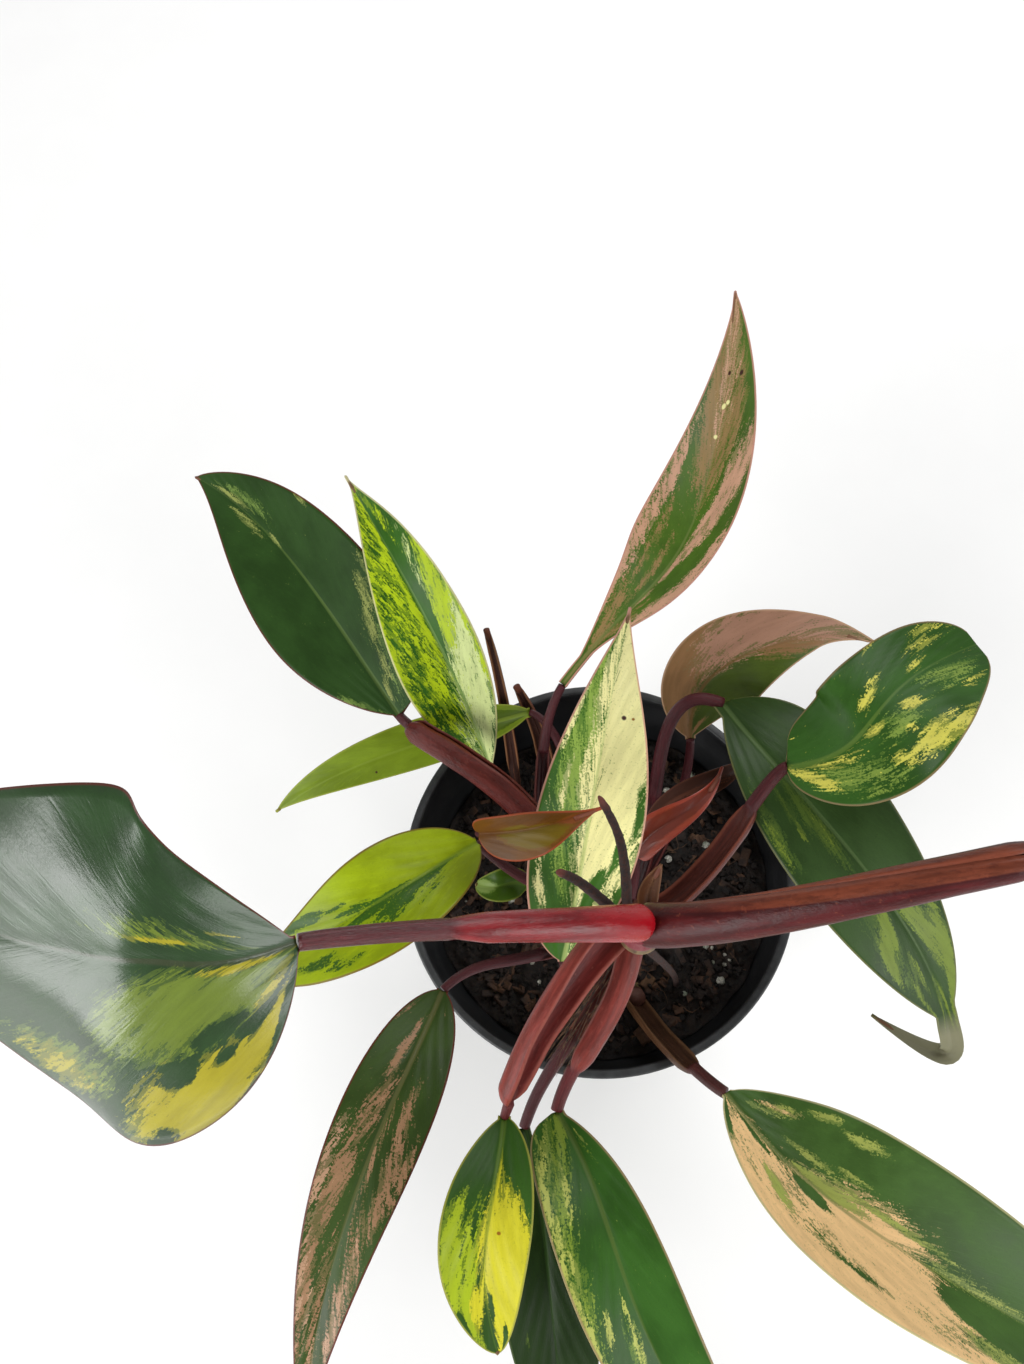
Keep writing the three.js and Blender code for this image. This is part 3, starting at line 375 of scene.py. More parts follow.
        ribline=paint(92, 34, 20), light=((0.5, 1, 0.7, 0.4, 0.8), (0.5, -1, 0.7, 0.3, 0.6)), sheen=0.5,
    ),
    "leaf_brown_withered": dict(
        rib=((14, 8, 124), (22, 15, 132), (32, 19, 136), (41, 25, 134)), face=(-0.07, -0.33, 0.94),
        left=(3.6, 0.6, 0.6), right=(3.6, 0.6, 0.5), cup=0.003, wave=(0.3, 1.5, 0),
        colors=(WITHERED, paint(92, 52, 36), paint(40, 20, 16)), margin=paint(84, 48, 34),
        ribline=paint(90, 50, 34), light=((0.5, 0.3, 0.4, 0.5, 0),),
    ),
    "old_bud_scale": dict(
        rib=((11.6, -18.8, 150), (12.4, -15, 156), (13.5, -12, 161), (15, -9, 165)), face=(-0.5, -0.6, 0.6),
        left=(3, 0.5, 0.9), right=(3, 0.5, 0.9), fold=20, cup=0.01, wave=(0.3, 1.5, 0),
        colors=(paint(84, 50, 30), paint(120, 82, 54), WITHERED), margin=paint(110, 74, 48),
        ribline=paint(70, 42, 26), light=((0.5, 0, 0.4, 0.5, 0),), blush=((0.9, 0, 0.2, 1, 0.2),),
    ),
}

# Leaf stalks. route: four points. open: where the channel opens. spread: how far its wings reach round.
# twist: how far it turns round the stalk at the foot and at the blade, in degrees. radius: at the stem and
# at the blade. sheath: half widths at its foot and end, share of the length. closed: share from the foot
# before it opens. round_foot: the foot ends in a dome. ragged: how uneven the wings are.
# colors: back, channel, wing edge, and the stalk past the sheath. foot, foot_end: the foot's own colour and
# how far it reaches. band: how far round the back the brown upper side starts. wrinkled: depth of the
# wrinkles. gloss: roughness of the skin. shine: strength of its reflections.
CRIMSON = (paint(120, 12, 20), paint(92, 10, 14), paint(138, 30, 34), paint(78, 16, 22))
WINE = (paint(70, 8, 10), paint(108, 50, 30), paint(124, 62, 42), paint(110, 46, 32))
DARK_RED = (paint(78, 26, 26), paint(48, 17, 18), paint(106, 54, 46), paint(72, 24, 30))
ROSE = (paint(122, 48, 40), paint(106, 36, 32), paint(146, 76, 64), paint(92, 32, 34))
RED_BROWN = (paint(90, 36, 26), paint(74, 28, 20), paint(118, 62, 46), paint(70, 24, 28))
BROWN = (paint(82, 54, 34), paint(66, 42, 28), paint(104, 76, 52), paint(72, 32, 30))
DRY = (paint(98, 52, 34), paint(60, 32, 24), paint(146, 104, 70), paint(98, 52, 34))
STALKS = {
    "petiole_left_large": dict(
        route=((8, -28, 206), (-9, -30, 220), (-33, -32, 231), (-55, -35, 240)), open=(0, 0.5, 1),
        spread=176, twist=(165, 165), radius=(2.8, 1.6), sheath=(4, 2.7, 0.62), colors=CRIMSON,
        foot=paint(168, 14, 28), foot_end=0.34, round_foot=True, gloss=0.16, shine=0.45,
    ),
    "petiole_right_large": dict(
        route=((9, -28, 202), (30, -28, 218), (58, -24, 233), (88, -19, 241)), open=(0, 0.8, 1),
        spread=180, ragged=0, twist=(-40, 45), radius=(2.8, 1.6), sheath=(4.7, 3.4, 0.9), colors=WINE,
        foot=paint(60, 6, 8), band=1.12,
    ),
    "petiole_dark_upper_left": dict(
        route=((-17, 11, 118), (-33, 24, 132), (-48, 33, 138), (-57, 40, 139)), open=(0.8, 0.8, 0.5),
        spread=150, radius=(2.4, 1.4), sheath=(4.4, 3.9, 0.86), wrinkled=2.5, gloss=0.26,
        colors=(paint(86, 28, 22), paint(70, 24, 18), paint(120, 56, 42), paint(66, 20, 26)),
    ),
    "petiole_lime_streaked": dict(
        route=((-17, 11, 96), (-23, 19, 98), (-29, 26, 103), (-32, 29, 114)), open=(0, 1, 0.5),
        radius=(1.8, 1.3), sheath=(2, 1.8, 0.5), colors=DARK_RED,
    ),
    "petiole_plain_lime": dict(
        route=((-16, 10, 98), (-9, 27, 105), (-12, 41, 111), (-20, 49, 112)), open=(-0.3, 0, 1),
        radius=(1.8, 1.1), sheath=(2.2, 2, 0.5), colors=DARK_RED,
    ),
    "petiole_pink_top": dict(
        route=((-17, 10, 112), (-16, 26, 122), (-14, 38, 132), (-9, 48, 140)), open=(0, -0.6, 1),
        radius=(2, 1.2), sheath=(2.6, 2, 0.5), colors=DARK_RED,
    ),
    "petiole_cream_centre": dict(
        route=((6, -18, 136), (0, -27, 138), (-6, -31, 143), (-10, -31, 150)),
        radius=(2, 1.4), sheath=(2.4, 2, 0.5), colors=DARK_RED,
    ),
    "petiole_pink_folded": dict(
        route=((6, -11, 94), (20, 8, 98), (27, 24, 112), (28, 34, 130)), open=(-0.5, -0.5, 1),
        radius=(1.8, 1.2), sheath=(2.2, 2, 0.5), colors=DARK_RED,
    ),
    "petiole_oval_right": dict(
        route=((8, -18, 142), (24, -11, 152), (38, 5, 163), (47, 14, 170)), open=(-0.5, 0.5, 1),
        spread=96, radius=(2.4, 1.5), sheath=(3.8, 3.2, 0.68), colors=RED_BROWN,
    ),
    "petiole_dark_lower_right": dict(
        route=((6, -11, 98), (16, 10, 114), (20, 32, 142), (35, 37, 152)), open=(-0.5, -0.5, 1),
        radius=(2.2, 1.7), sheath=(3, 2.4, 0.45), colors=DARK_RED,
    ),
    "petiole_peach_front_right": dict(
        route=((10, -36, 90), (16, -46, 103), (24, -56, 117), (32, -63, 126)), open=(0.5, -0.2, 1),
        spread=104, radius=(2.2, 1.6), sheath=(3.6, 3.2, 0.7), colors=BROWN,
    ),
    "petiole_front_green": dict(
        route=((7, -23, 170), (2, -41, 166), (-6, -54, 162), (-12, -66, 158)), open=(-0.8, 0, 0.8),
        twist=(70, 70), radius=(2.2, 1.5), sheath=(3.6, 3, 0.74), colors=ROSE,
    ),
    "petiole_yellow_ovate": dict(
        route=((5, -24, 182), (-11, -43, 177), (-20, -58, 170), (-24, -67, 164)), open=(1.2, 0.3, 0.8),
        radius=(2.4, 1.1), sheath=(4.8, 3.6, 0.86), colors=ROSE,
    ),
    "petiole_front_plain": dict(
        route=((7, -20, 148), (-3, -42, 149), (-13, -56, 144), (-21, -71, 136)),
        radius=(2.2, 1.4), sheath=(2.4, 2, 0.5), colors=RED_BROWN,
    ),
    "petiole_pink_streaked": dict(
        route=((6, -15, 122), (-14, -27, 134), (-29, -31, 144), (-41, -38, 150)),
        radius=(2, 1.1), sheath=(2.4, 2, 0.4), colors=DARK_RED,
    ),
    "petiole_lime_striped": dict(
        route=((6, -15, 126), (-9, -12, 134), (-21, -8, 142), (-32, -1, 155)),
        radius=(2, 1.2), sheath=(2.4, 2, 0.5), colors=RED_BROWN,
    ),
    "petiole_caramel_young": dict(
        route=((-17, 10, 122), (-21, 7, 142), (-26, 2, 160), (-30, -2, 172)), open=(0, -1, 0.3),
        radius=(1.6, 1.1), sheath=(2, 1.6, 0.3), colors=RED_BROWN,
    ),
    "petiole_small_oval": dict(
        route=((-17, 10, 104), (-14, -1, 114), (-15, -7, 125), (-20, -9, 134)), open=(0, -0.3, 1),
        radius=(1.2, 0.9), sheath=(1.4, 1.2, 0.3), colors=RED_BROWN,
    ),
    "petiole_bronze_young": dict(
        route=((7, -17, 126), (9, -11, 128), (10, -6, 133), (10, -2, 140)), open=(0, -0.5, 1),
        radius=(1.6, 1.2), sheath=(1.8, 1.6, 0.3), colors=DARK_RED,
    ),
    "petiole_brown_withered": dict(
        route=((6, -13, 108), (10, -4, 110), (12, 3, 116), (14, 8, 124)), open=(0, -0.5, 1),
        radius=(1.4, 1.1), sheath=(1.6, 1.4, 0.3), colors=BROWN,
    ),
    "dry_sheath_tall": dict(
        route=((-26, 26, 72), (-27, 42, 100), (-29, 56, 119), (-32, 68, 136)), open=(0, -1, 0.5),
        radius=(1.8, 1), sheath=(2.4, 1.2, 0.97), closed=0.18, colors=DRY, gloss=0.6,
    ),
    "dry_sheath_short": dict(
        route=((-15, 25, 72), (-16, 39, 94), (-19, 48, 106), (-24, 56, 118)), open=(0, -1, 0.5),
        radius=(2, 1.2), sheath=(3.4, 1.6, 0.97), closed=0.25, colors=DRY, gloss=0.6,
    ),
}

# Stems. route: four points. radius: at the foot. rings: where the leaf scars lie. tip: colour of the top.
STEMS = {
    "main_stem": dict(
        route=((5, -6, 58), (6, -14, 105), (8, -24, 155), (7, -28, 204)), radius=4.6,
        rings=(0.3, 0.42, 0.52, 0.62, 0.72, 0.84, 0.95), tip=paint(112, 32, 42),
    ),
    "side_stem": dict(
        route=((-15, 8, 60), (-16, 9, 85), (-17, 10, 105), (-17, 10, 126)), radius=4.0,
        rings=(0.5, 0.7, 0.88), tip=paint(84, 56, 30),
    ),
    "front_shoot": dict(
        route=((8, -33, 62), (9, -34, 74), (10, -35, 84), (11, -37, 93)), radius=3.2,
        rings=(0.75,), tip=paint(84, 48, 36),
    ),
}

# Aerial roots. route: four points. radius: at the stem and at the tip.
ROOTS = {
    "aerial_root_long": dict(
        route=((5, -24, 190), (4.4, -15, 200), (2.6, -9, 208), (-1, -3, 213)), radius=(1.2, 0.8),
    ),
    "aerial_root_short": dict(
        route=((4, -25, 188), (-2, -21, 198), (-6, -19, 205), (-10, -18, 210)), radius=(1.3, 0.9),
    ),
    "aerial_root_to_soil": dict(
        route=((9, -26, 150), (17, -30, 130), (22, -32, 105), (24, -34, 78)), radius=(1.1, 0.8),
    ),
}


class LeafSettings(bpy.types.PropertyGroup):
    """Sizes of the finished blades"""
    rows: IntProperty(name="Rows", description="Splits along a blade", default=96, min=12)
    columns: IntProperty(name="Columns", description="Splits across a blade", default=36, min=6)
    thickness: FloatProperty(
        name="Thickness", description="Thickness of a blade", default=0.6 * MM, unit="LENGTH"
    )
    groove: FloatProperty(
        name="Groove", description="Depth of the groove over the midrib", default=0.35 * MM, unit="LENGTH"
    )
    vein_relief: FloatProperty(
        name="Vein relief", description="Height of the side veins", default=0.08 * MM, unit="LENGTH"
    )
    vein_spacing: FloatProperty(
        name="Vein spacing", description="Distance between side veins", default=9 * MM, unit="LENGTH"
    )
    swell: FloatProperty(
        name="Swell", description="Height of the soft swells of a blade", default=0.3 * MM, unit="LENGTH"
    )


class StalkSettings(bpy.types.PropertyGroup):
    """Sizes of the finished leaf stalks, stems and roots"""
    sides: IntProperty(name="Sides", description="Splits around a stalk", default=40, min=8)
    segments: IntProperty(name="Segments", description="Splits along a stalk", default=72, min=8)
    relief: FloatProperty(
        name="Relief", description="Height of the uneven skin", default=0.05 * MM, unit="LENGTH"
    )
    strands: IntProperty(name="Strands", description="Fibres of the frayed sheath", default=130, min=0)
    strand_radius: FloatProperty(
        name="Strand radius", description="Radius of a fibre", default=0.11 * MM, unit="LENGTH"
    )


class PotSettings(bpy.types.PropertyGroup):
    """Finish of the nursery pot"""
    steps: IntProperty(name="Steps", description="Splits around the pot", default=144, min=24)
    color: FloatVectorProperty(
        name="Plastic", description="Colour of the pot", subtype="COLOR", default=paint(24, 25, 27)
    )
    worn: FloatVectorProperty(
        name="Worn plastic", description="Colour of the rubbed rim",
        subtype="COLOR", default=paint(64, 66, 68),
    )


class SoilSettings(bpy.types.PropertyGroup):
    """What the potting mix is made of"""
    steps: IntProperty(name="Steps", description="Splits across the soil", default=150, min=20)
    chips: IntProperty(name="Bark chips", description="Pieces of bark on the soil", default=520, min=0)
    crumbs: IntProperty(name="Crumbs", description="Small lumps of peat on the soil", default=2600, min=0)
    grains: IntProperty(name="Perlite grains", description="White grains on the soil", default=46, min=0)
    fibres: IntProperty(name="Fibres", description="Fine dead roots on the soil", default=60, min=0)
    color: FloatVectorProperty(
        name="Peat", description="Colour of the soil", subtype="COLOR", default=paint(34, 24, 19)
    )


class StudioSettings(bpy.types.PropertyGroup):
    """Floor and lights"""
    floor_size: FloatProperty(name="Floor", description="Side of the floor", default=6.0, unit="LENGTH")
    floor_color: FloatVectorProperty(
        name="Floor colour", description="Colour of the floor", subtype="COLOR", default=(0.92, 0.92, 0.915)
    )
    key_power: FloatProperty(
        name="Key light", description="Power of the window-like light", default=26.0, unit="POWER"
    )
    fill_power: FloatProperty(
        name="Fill light", description="Power of the light from the front", default=14.0, unit="POWER"
    )
    sky: FloatProperty(name="Sky", description="Strength of the even light from all round", default=0.36)


class Graph:
    """One material's nodes, added and wired by short calls."""

    def __init__(self, name):
        self.material = bpy.data.materials.new(name)
        self.material.use_nodes = True
        self.tree = self.material.node_tree
        self.shader = self.tree.nodes["Principled BSDF"]

    def put(self, socket, value):
        if isinstance(value, bpy.types.NodeSocket):
            self.tree.links.new(value, socket)
        elif socket.type == "RGBA":
            socket.default_value = (*value[:3], 1.0)
        else:
            socket.default_value = value

    def node(self, kind, inputs=None, **settings):
        node = self.tree.nodes.new("ShaderNode" + kind)
        for key, value in settings.items():
            setattr(node, key, value)
        for key, value in (inputs or {}).items():
            self.put(node.inputs[key], value)
        return node

    def math(self, operation, first, second=0.0):
        return self.node("Math", {0: first, 1: second}, operation=operation).outputs[0]

    def times(self, first, second):
        return self.math("MULTIPLY", first, second)

    def plus(self, first, second):
        return self.math("ADD", first, second)

    def swing(self, value, amount):
        """A noise from 0 to 1 turned into one from -amount / 2 to amount / 2."""
        return self.times(self.math("SUBTRACT", value, 0.5), amount)

    def ramp(self, value, low, high, start=0.0, end=1.0):
        inputs = {"Value": value, "From Min": low, "From Max": high, "To Min": start, "To Max": end}
        return self.node("MapRange", inputs, interpolation_type="SMOOTHSTEP").outputs[0]

    def blend(self, factor, first, second):
        return self.node("Mix", {0: factor, 6: first, 7: second}, data_type="RGBA").outputs[2]

    def mottle(self, value, first, second):
        """Two tones that a noise mixes softly."""
        return self.blend(self.ramp(value, 0.35, 0.65), first, second)

    def over(self, color, tone, mask, strength):
        """The colour with a tone laid over it where the mask is 1."""
        return self.blend(self.times(mask, strength), color, tone)

    def dullness(self, value, least, most):
        """Roughness that follows a noise."""
        return self.ramp(value, 0.3, 0.7, least, most)

    def noise(self, vector, scale=1.0, detail=3.0, roughness=0.55):
        inputs = {"Vector": vector, "Scale": scale, "Detail": detail, "Roughness": roughness}
        return self.node("TexNoise", inputs).outputs[0]

    def grain(self, scale, detail=3.0, roughness=0.55):
        """Noise in the frame itself, with so many marks to the metre."""
        vector = self.node("TexCoord").outputs["Object"]
        place = self.node("VectorMath", {0: vector, 3: scale}, operation="SCALE").outputs[0]
        return self.noise(place, 1.0, detail, roughness)

    def attribute(self, name):
        vector = self.node("Attribute", attribute_name=name).outputs["Vector"]
        return self.node("SeparateXYZ", {0: vector}).outputs

    def join(self, x, y, z):
        return self.node("CombineXYZ", {0: x, 1: y, 2: z}).outputs[0]

    def around(self, along, angle, pitch, girth):
        """Coordinates for a noise that closes up round a stalk."""
        across = self.times(self.math("COSINE", angle), girth)
        upward = self.times(self.math("SINE", angle), girth)
        return self.join(self.times(along, pitch), across, upward)

    def finish(self, color, roughness, height=None, bump=(0.4, 0.0003), **constants):
        self.put(self.shader.inputs["Base Color"], color)
        self.put(self.shader.inputs["Roughness"], roughness)
        for key, value in constants.items():
            self.shader.inputs[key.replace("_", " ").title().replace("Ior", "IOR")].default_value = value
        if height is not None:
            inputs = {"Height": height, "Strength": bump[0], "Distance": bump[1]}
            relief = self.node("Bump", inputs).outputs[0]
            self.put(self.shader.inputs["Normal"], relief)
            if "coat_weight" in constants:
                self.put(self.shader.inputs["Coat Normal"], relief)
        return self.material


def scaled(color, factor):
    """The colour made darker or lighter."""
    return tuple(min(c * factor, 1.0) for c in color)


def curve_points(points, s):
    """Points and unit tangents of the curve through four points at 0, 1/3, 2/3 and 1."""
    start, third, two_thirds, end = (np.array(p, float) for p in points)
    first = (-5 * start + 18 * third - 9 * two_thirds + 2 * end) / 6
    second = (2 * start - 9 * third + 18 * two_thirds - 5 * end) / 6
    s = np.asarray(s, float)[:, None]
    place = (1 - s) ** 3 * start + 3 * (1 - s) ** 2 * s * first + 3 * (1 - s) * s * s * second + s ** 3 * end
    way = (1 - s) ** 2 * (first - start) + 2 * (1 - s) * s * (second - first) + s * s * (end - second)
    return place, way / np.linalg.norm(way, axis=1, keepdims=True)


def curve_frame(points, face, s):
    """Points of a curve with its tangent, the direction to the side and the one that faces outwards."""
    place, tangent = curve_points(points, s)
    normal = np.array(face, float) - (tangent @ np.array(face, float))[:, None] * tangent
    normal /= np.linalg.norm(normal, axis=1, keepdims=True)
    return place, tangent, np.cross(tangent, normal), normal


def curve_length(points):
    place, _ = curve_points(points, np.linspace(0, 1, 40))
    return float(np.linalg.norm(np.diff(place, axis=0), axis=1).sum())


def outline(width, s):
    """Half width of a blade from its size and the powers that round its base and point its tip."""
    size, base_power, tip_power = width
    widest = base_power / (base_power + tip_power)
    peak = widest ** base_power * (1 - widest) ** tip_power
    return size * np.maximum(s, 0) ** base_power * np.maximum(1 - s, 0) ** tip_power / peak


def half_width(leaf, s, t):
    """Width in mm from the midrib to the edge on the side that t lies on."""
    if "curl" in leaf:
        bent = np.maximum(s - HOOK_START, 0) / (1 - HOOK_START)
        body = np.minimum(s / HOOK_START, 1)
        least = TAIL_WIDTH + (LEAST_WIDTHS[1] - TAIL_WIDTH) * bent ** 5
    else:
        body = s
        least = LEAST_WIDTHS[0] + (LEAST_WIDTHS[1] - LEAST_WIDTHS[0]) * s
    return np.maximum(np.where(t < 0, outline(leaf["left"], body), outline(leaf["right"], body)), least)


def tip_bend(leaf, s):
    """How far the hooked and curled tip leaves the midrib's own curve, in mm."""
    bent = np.maximum(s - HOOK_START, 0)[:, None] / (1 - HOOK_START)
    hook, curl = (np.array(leaf.get(key, (0, 0, 0))) for key in ("hook", "curl"))
    return hook * bent ** 2 + curl * bent ** 3


def blade_frame(leaf, s):
    """Midrib's points with the directions to the right and up there, turned with the bent tip."""
    place, tangent = curve_points(leaf["rib"], s)
    step = 0.01
    bend = (tip_bend(leaf, s + step) - tip_bend(leaf, s - step)) / (2 * step)
    tangent = tangent * curve_length(leaf["rib"]) + bend
    tangent /= np.linalg.norm(tangent, axis=1, keepdims=True)
    face = np.array(leaf["face"], float)
    normal = face - (tangent @ face)[:, None] * tangent
    normal /= np.linalg.norm(normal, axis=1, keepdims=True)
    side = np.cross(tangent, normal)
    if "curl" in leaf:
        turn = math.radians(TAIL_TURN) * smooth_step(s, HOOK_START - 0.02, HOOK_START + 0.05)[:, None]
        cos, sin = np.cos(turn), np.sin(turn)
        side, normal = side * cos + normal * sin, normal * cos - side * sin
    return place + tip_bend(leaf, s), side, normal


def from_rib(leaf, s, t):
    """Share of the way from the visible midrib to the edge; a few midribs swing to one side."""
    most, turn = leaf.get("rib_shift", (0, 1))
    rib = most * np.sin(math.pi * s / turn)
    return (t - rib) / np.where(t > rib, 1 - rib, 1 + rib)


def blade_points(leaf, s, t):
    """Points in mm of a blade's middle surface; s runs base to tip, t from -1 (left) to 1 (right)."""
    s, t = np.clip(s, 0, 1), np.clip(t, -1, 1)
    place, side, normal = blade_frame(leaf, s)
    out = np.abs(t) * half_width(leaf, s, t)
    reach = np.abs(from_rib(leaf, s, t)) * half_width(leaf, s, t)
    height, count, phase = leaf.get("wave", WAVE)
    turns = count * s + np.where(t < 0, phase, phase + RIGHT_PHASE)
    wave = height * t * t * np.sin(math.pi * s) * np.sin(2 * math.pi * turns)
    lift = math.radians(leaf.get("fold", FOLD))
    raised = reach * math.sin(lift) + leaf["cup"] * reach * reach + wave
    return place + side * (np.sign(t) * out * math.cos(lift))[:, None] + normal * raised[:, None]


def patches(marks, s, t):
    """Highest of some soft patches that lean along the side veins: 1 in one's middle, under 0 outside."""
    field = np.full(len(s), NO_PATCH)
    for along, across, length, width, level in marks:
        shift = (s - along - PATCH_LEAN * (np.abs(t) - abs(across))) / length
        field = np.maximum(field, level - shift ** 2 - ((t - across) / width) ** 2)
    return field


def new_grid(columns, rows):
    """A flat grid from -1 to 1 both ways, with a UV map."""
    sheet = bmesh.new()
    sheet.loops.layers.uv.new("UVMap")
    bmesh.ops.create_grid(sheet, x_segments=columns, y_segments=rows, size=1.0, calc_uvs=True)
    return sheet


def grid_places(sheet):
    return np.array([v.co[:2] for v in sheet.verts]).T


def set_vectors(sheet, name, *columns):
    layer = sheet.verts.layers.float_vector.new(name)
    for vertex, values in zip(sheet.verts, np.stack(columns, axis=1)):
        vertex[layer] = values


def move_to(sheet, places):
    for vertex, place in zip(sheet.verts, places * MM):
        vertex.co = place


def add_piece(name, sheet, materials, nodes=(), smooth=True):
    """Turns a bmesh into a finished piece that rides on the plant."""
    mesh = bpy.data.meshes.new(name)
    for face in sheet.faces:
        face.smooth = smooth
    sheet.to_mesh(mesh)
    sheet.free()
    for material in materials:
        mesh.materials.append(material)
    piece = bpy.data.objects.new(name, mesh)
    bpy.context.scene.collection.objects.link(piece)
    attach(piece, ROOT)
    if nodes:
        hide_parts(*nodes)
    return piece


def add_finer(name, sheet, materials):
    """A finer piece that takes the place of a node of the frame."""
    return add_piece(name + "_fine", sheet, materials, [name])


def blade_sheet(leaf, settings, seed):
    """Upper face of a blade with its groove, side veins and the values that its material reads."""
    sheet = new_grid(settings.columns, settings.rows)
    x, y = grid_places(sheet)
    t = np.sign(x) * np.abs(x) ** COLUMN_CROWDING
    even = (y + 1) / 2
    s = even - ROW_CROWDING * np.sin(2 * math.pi * even)
    step = 0.004
    along = blade_points(leaf, s + step, t) - blade_points(leaf, s - step, t)
    across = blade_points(leaf, s, t + step) - blade_points(leaf, s, t - step)
    normal = np.cross(across, along)
    normal /= np.linalg.norm(normal, axis=1, keepdims=True)
    width = half_width(leaf, s, t)
    u = from_rib(leaf, s, t)
    reach = u * width
    length = curve_length(leaf["rib"])
    size = max(leaf["left"][0], leaf["right"][0])
    vein = s * length - leaf.get("veins", VEIN_SLOPE) * size * (np.abs(reach) / size) ** 0.7
    fade = np.clip(np.abs(reach) / 3, 0, 1) * np.clip((width - np.abs(reach)) / 2, 0, 1)
    ripple = np.cos(2 * math.pi * vein * MM / settings.vein_spacing) * fade
    groove = -np.exp(-(reach / GROOVE_WIDTH) ** 2) * (1 - 0.7 * s)
    swells = np.array([
        noise.noise(Vector((a * length / SWELL_LENGTH, b / SWELL_WIDTH, seed))) for a, b in zip(s, reach)
    ]) * np.clip(width / 12, 0, 1) * leaf.get("swell", 1)
    relief = (groove * settings.groove + ripple * settings.vein_relief + swells * settings.swell) / MM
    move_to(sheet, blade_points(leaf, s, t) + normal * (relief + settings.thickness / MM / 2)[:, None])
    set_vectors(sheet, "blade", vein, reach, (1 - np.abs(t)) * width)
    set_vectors(sheet, "place", s * length, s, u)
    bare = np.clip(patches(leaf.get("bare", ()), s, u) * 2.5, -1, 2)
    fields = [patches(leaf.get(key, ()), s, u) - np.maximum(bare + 1, 0) for key in ("light", "blush")]
    set_vectors(sheet, "marks", *fields, np.clip((s - HOOK_START + 0.02) * 20, 0, 1))
    return sheet, s, t


def add_blade(name, leaf, settings, seed):
    """A blade of uneven thickness: a raised midrib underneath and a thin edge."""
    sheet, s, t = blade_sheet(leaf, settings, seed)
    piece = add_finer(name, sheet, [blade_material(name, leaf, settings, seed), under_material(name, leaf)])
    group = piece.vertex_groups.new(name="thickness")
    width = half_width(leaf, s, t)
    reach = from_rib(leaf, s, t) * width
    rib = np.exp(-(reach / MIDRIB_WIDTH) ** 2) * (1 - 0.8 * s) * MIDRIB_THICKNESS * MM
    deepest = settings.thickness + MIDRIB_THICKNESS * MM
    edge = EDGE_SHARE + (1 - EDGE_SHARE) * np.clip((1 - np.abs(t)) * width / EDGE_WIDTH, 0, 1)
    for index, depth in enumerate(settings.thickness * edge + rib):
        group.add([index], float(depth / deepest), "REPLACE")
    solid = piece.modifiers.new("Solidify", "SOLIDIFY")
    solid.thickness = deepest
    solid.offset = -1
    solid.vertex_group = group.name
    solid.material_offset = 1
    solid.material_offset_rim = 0


def streaks(graph, places, slope, size, seed, detail=4.0, roughness=0.7):
    """Noise drawn out along the side veins; size: width and length of its marks in mm."""
    vein, reach = places
    steep = math.hypot(1, 0.85 * slope)
    vector = graph.join(graph.times(vein, 1 / (size[0] * steep)), graph.times(reach, steep / size[1]), seed)
    return graph.noise(vector, 1.0, detail, roughness)


